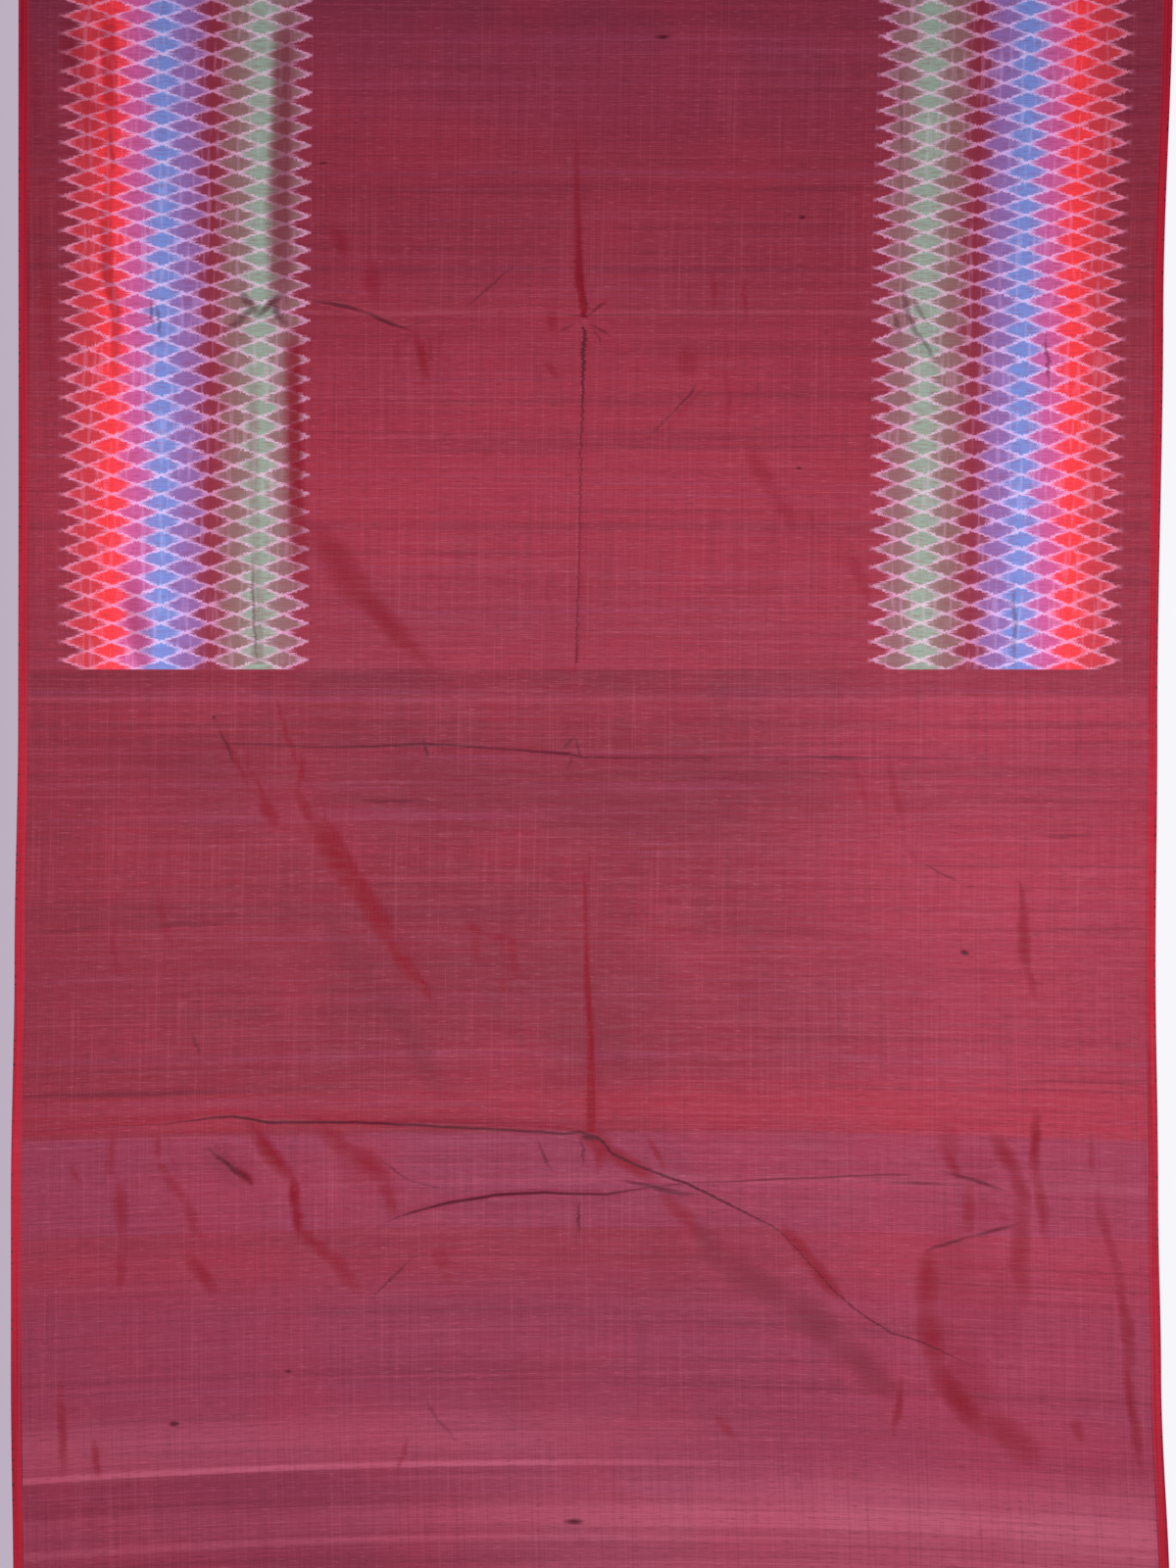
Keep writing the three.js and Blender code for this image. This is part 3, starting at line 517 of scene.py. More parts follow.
def wall_polygons(columns, rows, every):
    """The polygons of a closed wall: a fine outer grid, an inner one of every so many lines, and the rims."""
    kept_columns = kept_lines(columns, every)
    kept_rows = kept_lines(rows, every)
    inner_start = columns * rows

    def outer(column, row):
        return row * columns + column

    def inner(column, row):
        return inner_start + row * len(kept_columns) + column

    column, row = np.meshgrid(np.arange(columns - 1), np.arange(rows - 1))
    a = outer(column, row).ravel()
    polygons = np.stack([a, a + 1, a + 1 + columns, a + columns], axis=1).tolist()
    for r in range(len(kept_rows) - 1):
        for c in range(len(kept_columns) - 1):
            polygons.append([inner(c, r + 1), inner(c + 1, r + 1), inner(c + 1, r), inner(c, r)])
    last_row, last_column = len(kept_rows) - 1, len(kept_columns) - 1
    for c, (start, end) in enumerate(zip(kept_columns, kept_columns[1:])):
        low = [outer(k, 0) for k in range(end, start - 1, -1)]
        polygons.append([inner(c, 0), inner(c + 1, 0), *low])
        high = [outer(k, rows - 1) for k in range(start, end + 1)]
        polygons.append([inner(c + 1, last_row), inner(c, last_row), *high])
    for r, (start, end) in enumerate(zip(kept_rows, kept_rows[1:])):
        left = [outer(0, k) for k in range(start, end + 1)]
        polygons.append([inner(0, r + 1), inner(0, r), *left])
        right = [outer(columns - 1, k) for k in range(end, start - 1, -1)]
        polygons.append([inner(last_column, r), inner(last_column, r + 1), *right])
    return polygons


def mesh_from(name, points, polygons):
    mesh = bpy.data.meshes.new(name)
    mesh.from_pydata(points.tolist(), [], polygons)
    mesh.polygons.foreach_set("use_smooth", np.ones(len(polygons), dtype=bool))
    mesh.update()
    return mesh


def make_cloth(name, point_at, length_at, u_lines, v_lines, material, every=1):
    """A closed wall of silk over the grid lines, with the weave's place on the flat cloth as its UV map."""
    u, v = np.meshgrid(u_lines, v_lines)
    middle = point_at(u, v)
    normal = normals_of(point_at, u, v)
    flat = np.stack([u, length_at(v)], axis=-1)
    kept = np.ix_(kept_lines(len(v_lines), every), kept_lines(len(u_lines), every))
    half = normal * SILK_THICKNESS / 2

    def both_sides(outer, inner):
        return np.concatenate([outer.reshape(-1, outer.shape[-1]), inner[kept].reshape(-1, inner.shape[-1])])

    points = both_sides(middle + half, middle - half)
    mesh = mesh_from(name, points, wall_polygons(len(u_lines), len(v_lines), every))
    corners = np.empty(len(mesh.loops), dtype=np.int32)
    mesh.loops.foreach_get("vertex_index", corners)
    weave = mesh.uv_layers.new(name="weave")
    weave.uv.foreach_set("vector", both_sides(flat, flat)[corners].ravel())
    mesh.normals_split_custom_set_from_vertices(both_sides(normal, -normal))
    piece = bpy.data.objects.new(name, mesh)
    bpy.context.collection.objects.link(piece)
    piece.data.materials.append(material)
    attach(piece, "root")
    return piece


# Materials


class Nodes:
    """Short names for making shader nodes and linking them."""

    def __init__(self, owner):
        owner.use_nodes = True
        self.tree = owner.node_tree
        self.tree.nodes.clear()

    def add(self, kind, **settings):
        node = self.tree.nodes.new(kind)
        for name, value in settings.items():
            setattr(node, name, value)
        return node

    def feed(self, socket, value):
        if isinstance(value, bpy.types.NodeSocket):
            self.tree.links.new(value, socket)
        else:
            socket.default_value = value

    def feed_all(self, node, **values):
        """Feeds the sockets named by the keywords, with underscores for the spaces in their names."""
        for name, value in values.items():
            self.feed(node.inputs[name.replace("_", " ")], value)

    def math(self, operation, *values):
        node = self.add("ShaderNodeMath", operation=operation)
        for socket, value in zip(node.inputs, values):
            self.feed(socket, value)
        return node.outputs[0]

    def step(self, low, high, value, out_low=0.0, out_high=1.0):
        node = self.add("ShaderNodeMapRange", interpolation_type="SMOOTHSTEP")
        self.feed_all(node, Value=value, From_Min=low, From_Max=high, To_Min=out_low, To_Max=out_high)
        return node.outputs["Result"]

    def blend(self, share, a, b):
        node = self.add("ShaderNodeMix", data_type="RGBA")
        self.feed_all(node, Factor=share, A=a, B=b)
        return node.outputs["Result"]

    def vector(self, x, y, z=0.0):
        node = self.add("ShaderNodeCombineXYZ")
        self.feed_all(node, X=x, Y=y, Z=z)
        return node.outputs[0]

    def dot(self, vector, factors):
        node = self.add("ShaderNodeVectorMath", operation="DOT_PRODUCT")
        self.feed(node.inputs[0], vector)
        self.feed(node.inputs[1], factors)
        return node.outputs["Value"]

    def noise(self, place, across, along, detail=2.0, offset=0.0, roughness=0.55):
        """Noise from 0 to 1 over the cloth, in grains of so many metres across and along it."""
        x = self.math("DIVIDE", place[0], across)
        y = self.math("DIVIDE", place[1], along)
        node = self.add("ShaderNodeTexNoise", noise_dimensions="2D")
        vector = self.vector(x, self.math("ADD", y, offset))
        self.feed_all(node, Vector=vector, Scale=1.0, Detail=detail, Roughness=roughness)
        return node.outputs[0]

    def nudged(self, value, noise, amount):
        """The value, moved by up to half the amount either way."""
        return self.math("MULTIPLY_ADD", self.math("SUBTRACT", noise, 0.5), amount, value)

    def ramp(self, share, stops, interpolation="LINEAR"):
        node = self.add("ShaderNodeValToRGB")
        node.color_ramp.interpolation = interpolation
        elements = node.color_ramp.elements
        while len(elements) < len(stops):
            elements.new(1.0)
        for element, (place, tone) in zip(elements, stops):
            element.position = place
            element.color = tone
        self.feed(node.inputs["Fac"], share)
        return node.outputs["Color"]


def colour(red, green, blue):
    """A linear RGBA colour from one given in 8-bit sRGB."""

    def linear(value):
        share = value / 255
        return share / 12.92 if share <= 0.04045 else ((share + 0.055) / 1.055) ** 2.4

    return (linear(red), linear(green), linear(blue), 1.0)


# The ground's tones are the weft's own; the dark, mauve, pale and red ones also paint shade and sheen in the
# bands below.
GROUND = colour(133, 37, 53)
RED_WEFT_AND_PAINTED_LIGHT = colour(152, 37, 54)
MAUVE_WEFT_AND_PAINTED_LIGHT = colour(128, 50, 78)
DARK_WEFT_AND_SHADE = colour(88, 24, 42)
PALE_WEFT_AND_SHEEN = colour(182, 92, 114)
# Painted shade at creases and folds: crimson where a crease turns the shot silk away from its sheen, dark
# along fold lines, and mauve. The dark one also colours the selvedge's cords and the dark specks.
CREASE_SHADE_CRIMSON = colour(112, 0, 20)
DARK_FOLD_SHADE_AND_CORDS = colour(64, 0, 18)
SHADE_MAUVE = colour(100, 24, 40)
SELVEDGE_RED = colour(164, 14, 38)
STRIPE_CRIMSON = colour(150, 22, 42)
# The blouse piece's ground is deeper than the body's; its brighter right tone is painted light on that side.
BLOUSE_GROUND = colour(124, 32, 46)
BLOUSE_MIDDLE = colour(116, 28, 42)
BLOUSE_RIGHT = colour(146, 43, 61)

# Bands in metres down from the front's top edge: bands of other weft, and bands of painted shade and sheen.
# Side says where a band is strongest: all across (0), towards the right (1) or towards the left (-1).
BAND_COLUMNS = ("start", "end", "softness", "strength", "colour", "side")
# Painted shade: the first three rows darken and dull the top of the cloth.
BODY_WEFTS_AND_SHADE = [
    (-0.100, 0.080, 0.200, 0.62, DARK_WEFT_AND_SHADE, 0),
    (-0.100, 0.160, 0.160, 0.26, MAUVE_WEFT_AND_PAINTED_LIGHT, 0),
    (0.080, 0.400, 0.240, 0.24, DARK_WEFT_AND_SHADE, 0),
    (0.420, 0.600, 0.140, 0.26, RED_WEFT_AND_PAINTED_LIGHT, 0),
    (0.600, 0.711, 0.100, 0.16, DARK_WEFT_AND_SHADE, -1),
    (0.300, 0.306, 0.004, 0.30, DARK_WEFT_AND_SHADE, 0),
    (0.345, 0.350, 0.004, 0.12, PALE_WEFT_AND_SHEEN, 0),
    (0.560, 0.570, 0.008, 0.28, DARK_WEFT_AND_SHADE, 0),
]
# Painted light: the red bands just above the fold at 1.18 m, the broad mauve bands below it and the broad
# pale band at the hem stand for the shot silk's sheen as the cloth's angle changes. The thin lines are other
# weft.
BLOUSE_WEFTS_AND_SHEEN = [
    (0.700, 0.739, 0.003, 0.30, DARK_WEFT_AND_SHADE, 0),
    (0.739, 0.745, 0.006, 0.10, PALE_WEFT_AND_SHEEN, 0),
    (0.764, 0.772, 0.005, 0.24, DARK_WEFT_AND_SHADE, 0),
    (0.800, 0.880, 0.060, 0.20, DARK_WEFT_AND_SHADE, 0),
    (0.948, 0.968, 0.012, 0.26, DARK_WEFT_AND_SHADE, -1),
    (0.980, 1.120, 0.100, 0.16, DARK_WEFT_AND_SHADE, 0),
    (1.134, 1.140, 0.003, 0.22, DARK_WEFT_AND_SHADE, -1),
    (1.140, 1.180, 0.010, 0.14, RED_WEFT_AND_PAINTED_LIGHT, 0),
    (1.128, 1.180, 0.004, 0.30, RED_WEFT_AND_PAINTED_LIGHT, 1),
    (1.182, 1.280, 0.006, 0.50, MAUVE_WEFT_AND_PAINTED_LIGHT, 0),
    (1.226, 1.236, 0.006, 0.20, PALE_WEFT_AND_SHEEN, 1),
    (1.280, 1.340, 0.020, 0.24, MAUVE_WEFT_AND_PAINTED_LIGHT, 0),
    (1.286, 1.340, 0.030, 0.14, RED_WEFT_AND_PAINTED_LIGHT, -1),
    (1.340, 1.640, 0.050, 0.50, MAUVE_WEFT_AND_PAINTED_LIGHT, 0),
    (1.470, 1.517, 0.040, 0.24, PALE_WEFT_AND_SHEEN, -1),
    (1.517, 1.523, 0.003, 0.50, PALE_WEFT_AND_SHEEN, -1),
    (1.523, 1.560, 0.003, 0.26, DARK_WEFT_AND_SHADE, -1),
    (1.530, 1.660, 0.040, 0.34, PALE_WEFT_AND_SHEEN, 1),
    (1.560, 1.588, 0.004, 0.08, PALE_WEFT_AND_SHEEN, 0),
    (1.560, 1.588, 0.004, 0.30, PALE_WEFT_AND_SHEEN, 1),
    (1.592, 1.600, 0.006, 0.24, PALE_WEFT_AND_SHEEN, 0),
]
# Where a band that is stronger on one side fades in, in metres across the cloth
RIGHT_FADE = (0.25, 0.80)
LEFT_FADE = (0.40, 0.95)
# The blouse piece turns from its left colour to its middle one and on to its right one over these; the
# brighter right one is painted light on that side.
BLOUSE_LEFT_TURN = (0.12, 0.50)
BLOUSE_RIGHT_TURN = (0.66, 1.04)

# Where the pallu's stripes start and how wide they are, in metres from the pallu's start
STRIPES = [(0.030, 0.040), (0.090, 0.006), (0.110, 0.006), (0.560, 0.006), (0.580, 0.030)]
STRIPE_EDGE = 0.001
STRIPE_STRENGTH = 0.8

# The uneven threads: the size of a grain across and along the cloth in metres, detail, offset and roughness
THREADS = {
    "bands": (1.1, 0.016, 4.0, 0.0, 0.7),
    "patches": (0.16, 0.12, 2.0, 40.0),
    "streaks": (0.30, 0.0022, 3.0, 60.0),
    "slubs": (0.014, 0.0014, 2.0, 80.0),
    "warps": (0.0026, 0.16, 4.0, 120.0),
}
# What they do to the ground: it turns to a tone, by up to a strength, as the threads go from start to full
THREAD_COLUMNS = ("threads", "start", "full", "strength", "tone")
THREAD_TONES = [
    ("bands", 0.52, 0.24, 0.40, DARK_WEFT_AND_SHADE),
    ("bands", 0.50, 0.76, 0.40, MAUVE_WEFT_AND_PAINTED_LIGHT),
    ("patches", 0.40, 0.80, 0.22, RED_WEFT_AND_PAINTED_LIGHT),
    ("warps", 0.50, 0.22, 0.26, DARK_WEFT_AND_SHADE),
    ("warps", 0.54, 0.80, 0.13, PALE_WEFT_AND_SHEEN),
    ("streaks", 0.50, 0.24, 0.26, DARK_WEFT_AND_SHADE),
    ("streaks", 0.54, 0.78, 0.14, PALE_WEFT_AND_SHEEN),
    ("slubs", 0.44, 0.24, 0.40, DARK_WEFT_AND_SHADE),
    ("slubs", 0.60, 0.84, 0.30, PALE_WEFT_AND_SHEEN),
]

# How far the painted shades of marks and folds are moved off their lines at most, in metres
MARK_WANDER = 0.012
MARK_FRAY = 0.005
MARK_SAG = 0.006
FOLD_SAG = 0.003
# The share of a fold's half width at which its line starts to fade
FOLD_CORE = 0.25

# The lozenge columns from the selvedge inwards
COLUMN_COLOURS = [
    colour(188, 50, 60),
    colour(238, 54, 58),
    colour(188, 86, 146),
    colour(102, 136, 204),
    colour(128, 98, 160),
    colour(122, 32, 50),
    colour(124, 94, 92),
    colour(132, 158, 142),
    colour(126, 92, 94),
]
LINE_COLOURS = [
    colour(216, 134, 164),
    colour(234, 146, 184),
    colour(230, 170, 220),
    colour(206, 192, 236),
    colour(206, 168, 220),
    colour(200, 130, 170),
    colour(204, 158, 186),
    colour(208, 188, 202),
    colour(206, 148, 182),
]
# Round this length above the border's end the rows are packed closer
PACKED_CENTRE = 0.365
PACKED_SHARPNESS = 22.0
ROW_WANDER = 0.35
ROW_THREADS = 0.20
COLUMN_PICKS = 0.40
DASH_STRENGTH = 0.80
WARP_SHARE = 0.30
WEAVE_SHARE = 0.94

SILK_ROUGHNESS = (0.40, 0.50)
SILK_GLOSS = 0.09
SILK_GLOSS_TINT = (1.0, 0.78, 0.92, 1.0)
SILK_SHEEN = 0.03
SILK_SHEEN_ROUGHNESS = 0.45
SILK_SHEEN_TINT = (1.0, 0.72, 0.86, 1.0)
WARP_RELIEF = 0.7
WEAVE_BUMP = 0.5
WEAVE_RELIEF = 0.0004


def weave_place(nodes):
    """U across and the length along the flat cloth, in metres."""
    place = nodes.add("ShaderNodeUVMap", uv_map="weave")
    split = nodes.add("ShaderNodeSeparateXYZ")
    nodes.feed(split.inputs[0], place.outputs[0])
    return split.outputs["X"], split.outputs["Y"]


def ground_colour(nodes, place, base):
    """The base colour under uneven wefts: long bands, soft patches, fine streaks, slubs and warp lines."""
    threads = {name: nodes.noise(place, *grains) for name, grains in THREADS.items()}
    for row in rows_of(THREAD_COLUMNS, THREAD_TONES):
        share = nodes.step(row["start"], row["full"], threads[row["threads"]], 0.0, row["strength"])
        base = nodes.blend(share, base, row["tone"])
    return base


def cloth_place(x_mm, z_mm):
    """The u and the length, in metres, of the front layer's point at x and z in millimetres."""
    x, z = x_mm / 1000, z_mm / 1000
    left, right = edge_at(z, "left"), edge_at(z, "right")
    u = CLOTH_WIDTH * (x - left) / (right - left)
    drop = -z
    for _ in range(3):
        drop = -z + (height_at(u, drop) + drop)
    return float(u), float(SECOND_TOP_LENGTH - drop)


def warped_places(nodes, place):
    """The place on the cloth nudged so that marks wander, and one nudged less, for the long folds."""
    u, length = place
    wander = nodes.noise(place, 0.045, 0.045, offset=210.0)
    fray = nodes.noise(place, 0.040, 0.0016, detail=1.0, offset=230.0)
    sag = nodes.noise(place, 0.060, 0.045, offset=250.0)
    frayed_u = nodes.nudged(u, fray, MARK_FRAY)
    moved_u = nodes.nudged(frayed_u, wander, MARK_WANDER)
    sagged = nodes.math("SUBTRACT", sag, 0.5)
    moved_length = nodes.math("MULTIPLY_ADD", sagged, MARK_SAG, length)
    folded_length = nodes.math("MULTIPLY_ADD", sagged, FOLD_SAG, length)
    return (moved_u, moved_length), (frayed_u, folded_length)


def touches(places, window):
    """Whether any of the (u, length) places lies in the window."""
    return any(
        window["u"][0] < u < window["u"][1] and window["length"][0] < length < window["length"][1]
        for u, length in places
    )


def spindles(nodes, place, marks):
    """How strong the strongest of the spindle-shaped marks is at each place, given as (u, length, 1)."""
    strongest = 0.0
    for mark in marks:
        start = np.array(cloth_place(mark["x0"], mark["z0"]))
        end = np.array(cloth_place(mark["x1"], mark["z1"]))
        run = end - start
        centre = (start + end) / 2
        half_length = SPINDLE_LENGTHEN * np.hypot(*run) / 2
        half_width = SPINDLE_WIDEN * mark["width"] / 2000
        forward = run / np.hypot(*run) / half_length
        sideways = np.array([-run[1], run[0]]) / np.hypot(*run) / half_width
        along = nodes.dot(place, (*forward, -forward @ centre))
        across = nodes.dot(place, (*sideways, -sideways @ centre))
        away = nodes.math("MULTIPLY_ADD", along, along, nodes.math("MULTIPLY", across, across))
        strength = nodes.math("MULTIPLY_ADD", away, -mark["strength"], mark["strength"])
        strongest = nodes.math("MAXIMUM", strongest, strength)
    return strongest


def fold_points(fold, down):
    """The fold's points as (along, across, strength, width) in metres, along the way that it runs."""
    points = []
    for x, z, strength, width in reversed(fold) if down else fold:
        u, length = cloth_place(x, z)
        along, across = (length, u) if down else (u, length)
        points.append((along, across, strength, width / 1000))
    return points


def fold_line(nodes, along, across, points):
    """The painted shade line of a fold given as points of (along, across, strength, width) in metres."""
    near = min(point[1] for point in points) - 0.001
    far = max(point[1] for point in points) + 0.001
    span = points[-1][0] - points[0][0]
    stops = []
    for point in points:
        tone = ((point[1] - near) / (far - near), point[2], point[3] / FOLD_WIDTH_UNIT, 1.0)
        stops.append(((point[0] - points[0][0]) / span, tone))
    share = nodes.math("DIVIDE", nodes.math("SUBTRACT", along, points[0][0]), span)
    split = nodes.add("ShaderNodeSeparateColor")
    nodes.feed(split.inputs[0], nodes.ramp(share, stops))
    centre = nodes.math("MULTIPLY_ADD", split.outputs[0], far - near, near)
    away = nodes.math("ABSOLUTE", nodes.math("SUBTRACT", across, centre))
    half_width = nodes.math("MULTIPLY", split.outputs[2], FOLD_WIDEN * FOLD_WIDTH_UNIT / 2)
    line = nodes.step(FOLD_CORE, 1.0, nodes.math("DIVIDE", away, half_width), 1.0, 0.0)
    inside = nodes.math("COMPARE", share, 0.5, 0.5)
    return nodes.math("MULTIPLY", nodes.math("MULTIPLY", line, split.outputs[1]), inside)


def fold_lines(nodes, place, folds, down, window):
    """The painted shade lines of the folds that touch the window."""
    lines = []
    for points in [fold_points(fold, down) for fold in folds]:
        places = [(point[1], point[0]) if down else (point[0], point[1]) for point in points]
        if touches(places, window):
            along, across = (place[1], place[0]) if down else place
            lines.append(fold_line(nodes, along, across, points))
    return lines


# Each kind of painted crease shade: its marks, its folds down the cloth, its folds across the cloth, and its
# tone
SHADE_MARKINGS = [
    (MAUVE_SHADES, SHADED_DOWN_FOLDS, [], SHADE_MAUVE),
    (CRIMSON_CREASE_SHADES, SOFT_FOLD_SHADES, [], CREASE_SHADE_CRIMSON),
    (DARK_SHADES_AND_SPECKS, SHARP_FOLD_SHADES, CROSS_FOLD_SHADES, DARK_FOLD_SHADE_AND_CORDS),
]


def shade_marked(nodes, place, tone, window):
    """The tone with the painted shade of the creases and fold lines of the window's stretch, and dark specks,
    on it.
    """
    moved, folded = warped_places(nodes, place)
    mark_place = nodes.vector(*moved, 1.0)
    totals = []
    for table, down_folds, cross_folds, _ in SHADE_MARKINGS:
        marks = []
        for mark in rows_of(MARK_COLUMNS, table):
            middle = cloth_place((mark["x0"] + mark["x1"]) / 2, (mark["z0"] + mark["z1"]) / 2)
            if touches([middle], window) and mark["strength"] >= window["weakest"]:
                marks.append(mark)
        strengths = [spindles(nodes, mark_place, marks)] if marks else []
        strengths += fold_lines(nodes, folded, down_folds, True, window)
        strengths += fold_lines(nodes, folded, cross_folds, False, window)
        totals.append(strengths)
    for strengths, (*_, shade_tone) in zip(totals, SHADE_MARKINGS):
        total = 0.0
        for strength in strengths:
            total = nodes.math("MAXIMUM", total, strength)
        tone = nodes.blend(total, tone, shade_tone)
    return tone


def lozenge_rows(nodes, place, above):
    """How many rows of lozenges a place is above the border's end, with the ikat's uneven threads."""
    packed = nodes.math("ABSOLUTE", nodes.math("SUBTRACT", above, PACKED_CENTRE))
    packed = nodes.math("POWER", nodes.step(0.0, 1.0, packed, 1.0, 0.0), PACKED_SHARPNESS)
    wander = nodes.noise(place, 3.0, 0.10, detail=1.0, offset=11.0)
    threads = nodes.noise(place, 0.0016, 0.020, detail=1.0, offset=23.0)
    row = nodes.math("DIVIDE", above, ROW_PITCH)
    row = nodes.math("MULTIPLY_ADD", packed, PACKED_ROWS, row)
    row = nodes.nudged(row, wander, ROW_WANDER)
    row = nodes.nudged(row, threads, ROW_THREADS)
    return nodes.math("ADD", row, 0.5)


def lozenge_border(nodes, place, ground):
    """The ground with the two ikat borders woven over it, above the border's end."""
    u, length = place
    right_half = nodes.math("GREATER_THAN", u, CLOTH_WIDTH / 2)
    from_right = nodes.math("SUBTRACT", CLOTH_WIDTH, u)
    from_edge = nodes.math("MINIMUM", u, from_right)
    shift = FIRST_COLUMN_RIGHT - FIRST_COLUMN_LEFT
    first = nodes.math("MULTIPLY_ADD", right_half, shift, FIRST_COLUMN_LEFT)
    column = nodes.math("DIVIDE", nodes.math("SUBTRACT", from_edge, first), COLUMN_PITCH)

    above = nodes.math("SUBTRACT", length, BLOUSE_LENGTH)
    row = lozenge_rows(nodes, place, above)
    picks = nodes.noise(place, 0.030, 0.0014, detail=1.0, offset=31.0)
    feathered = nodes.nudged(column, picks, COLUMN_PICKS)

    # The lozenges' lines run where rising or falling is an odd number of columns
    rising = nodes.math("MULTIPLY_ADD", row, 2.0, feathered)
    falling = nodes.math("MULTIPLY_ADD", row, -2.0, feathered)
    rising_cell = nodes.math("ROUND", nodes.math("MULTIPLY", rising, 0.5))
    falling_cell = nodes.math("ROUND", nodes.math("MULTIPLY", falling, 0.5))
    cell = nodes.math("ADD", rising_cell, falling_cell)

    def past_line(value):
        below = nodes.math("FLOOR", nodes.math("MULTIPLY", value, 0.5))
        return nodes.math("SUBTRACT", nodes.math("MULTIPLY_ADD", below, -2.0, value), 1.0)

    past_rising, past_falling = past_line(rising), past_line(falling)
    to_rising = nodes.math("ABSOLUTE", past_rising)
    to_falling = nodes.math("ABSOLUTE", past_falling)
    nearest = nodes.math("MINIMUM", to_rising, to_falling)
    off_across = nodes.math("ABSOLUTE", nodes.math("ADD", past_rising, past_falling))
    off_down = nodes.math("ABSOLUTE", nodes.math("SUBTRACT", past_rising, past_falling))
    dash_across = nodes.step(0.10, 1.10, off_across, 1.0, 0.0)
    dash = nodes.math("MULTIPLY", dash_across, nodes.step(0.04, 0.34, off_down, 1.0, 0.0))
    line = nodes.step(0.02, 0.21, nearest, 1.0, 0.0)
    uneven = nodes.noise(place, 0.020, 0.013, detail=1.0, offset=47.0)
    line = nodes.math("MULTIPLY", line, nodes.step(0.30, 0.62, uneven, 0.42, 0.80))
    line = nodes.math("MAXIMUM", line, nodes.math("MULTIPLY", dash, DASH_STRENGTH))

    cell_place = nodes.math("DIVIDE", nodes.math("ADD", cell, 0.5), LOZENGE_COLUMNS)
    cell_stops = [(index / LOZENGE_COLUMNS, tone) for index, tone in enumerate(COLUMN_COLOURS)]
    fill = nodes.ramp(cell_place, cell_stops, "CONSTANT")
    warp_place = nodes.math("DIVIDE", nodes.math("ADD", column, 0.5), LOZENGE_COLUMNS)

    def over_warps(tones):
        stops = [((index + 0.5) / LOZENGE_COLUMNS, tone) for index, tone in enumerate(tones)]
        return nodes.ramp(warp_place, stops)

    fill = nodes.blend(WARP_SHARE, fill, over_warps(COLUMN_COLOURS))
    line_tone = over_warps(LINE_COLOURS)

    started = nodes.math("GREATER_THAN", above, 0.0)
    past_first = nodes.math("GREATER_THAN", cell, -0.5)
    before_last = nodes.math("LESS_THAN", cell, LOZENGE_COLUMNS - 0.5)
    filled = nodes.math("MULTIPLY", nodes.math("MULTIPLY", past_first, before_last), started)
    outermost = nodes.math("MAXIMUM", column, nodes.math("SUBTRACT", LOZENGE_COLUMNS - 1.0, column))
    lined = nodes.step(LOZENGE_COLUMNS - 0.25, LOZENGE_COLUMNS + 0.30, outermost, 1.0, 0.0)
    lined = nodes.math("MULTIPLY", lined, started)

    streaks = nodes.noise(place, 0.014, 0.0013, offset=55.0)
    strips = nodes.noise(place, 0.006, 0.060, offset=65.0)
    faded = nodes.blend(nodes.step(0.38, 0.78, streaks, 0.0, 0.45), fill, ground)
    faded = nodes.blend(nodes.step(0.52, 0.75, strips, 0.0, 0.22), faded, line_tone)
    woven = nodes.blend(nodes.math("MULTIPLY", filled, WEAVE_SHARE), ground, faded)
    return nodes.blend(nodes.math("MULTIPLY", line, lined), woven, line_tone)


def weave_bump(nodes, place):
    """The relief of the weave: fine weft slubs over fainter warps."""
    wefts = nodes.noise(place, 0.020, 0.0012, detail=1.0, offset=140.0)
    warps = nodes.noise(place, 0.0012, 0.015, detail=1.0, offset=160.0)
    height = nodes.math("MULTIPLY_ADD", warps, WARP_RELIEF, wefts)
    bump = nodes.add("ShaderNodeBump")
    nodes.feed_all(bump, Height=height, Strength=WEAVE_BUMP, Distance=WEAVE_RELIEF)
    return bump.outputs["Normal"]


def finish_silk(nodes, place, tone):
    """The silk's gloss: a deep colour under a broad, pinkish sheen."""
    shine = nodes.noise(place, 0.060, 0.004, offset=200.0)
    shader = nodes.add("ShaderNodeBsdfPrincipled")
    nodes.feed_all(
        shader,
        Base_Color=tone,
        Roughness=nodes.step(0.3, 0.7, shine, *SILK_ROUGHNESS),
        Specular_IOR_Level=SILK_GLOSS,
        Specular_Tint=SILK_GLOSS_TINT,
        Sheen_Weight=SILK_SHEEN,
        Sheen_Roughness=SILK_SHEEN_ROUGHNESS,
        Sheen_Tint=SILK_SHEEN_TINT,
        Normal=weave_bump(nodes, place),
    )
    output = nodes.add("ShaderNodeOutputMaterial")
    nodes.feed_all(output, Surface=shader.outputs[0])


def silk_material(name, zones=None, pattern=None, window=None, behind=False):
    """Shot silk: a ground over its zones, a pattern woven in it, and the painted shade of the creases in the
    window.
    """
    material = bpy.data.materials.new(name)
    nodes = Nodes(material)
    place = weave_place(nodes)
    base = zones(nodes, place) if zones else GROUND
    tone = ground_colour(nodes, place, base)
    if pattern:
        tone = pattern(nodes, place, tone)
    if window and behind:
        mirrored_u = nodes.math("SUBTRACT", CLOTH_WIDTH, place[0])
        mirrored_length = nodes.math("SUBTRACT", SECOND_TOP_LENGTH + BACK_TOP_LENGTH, place[1])
        tone = shade_marked(nodes, (mirrored_u, mirrored_length), tone, window)
    elif window:
        tone = shade_marked(nodes, place, tone, window)
    finish_silk(nodes, place, tone)
    return material


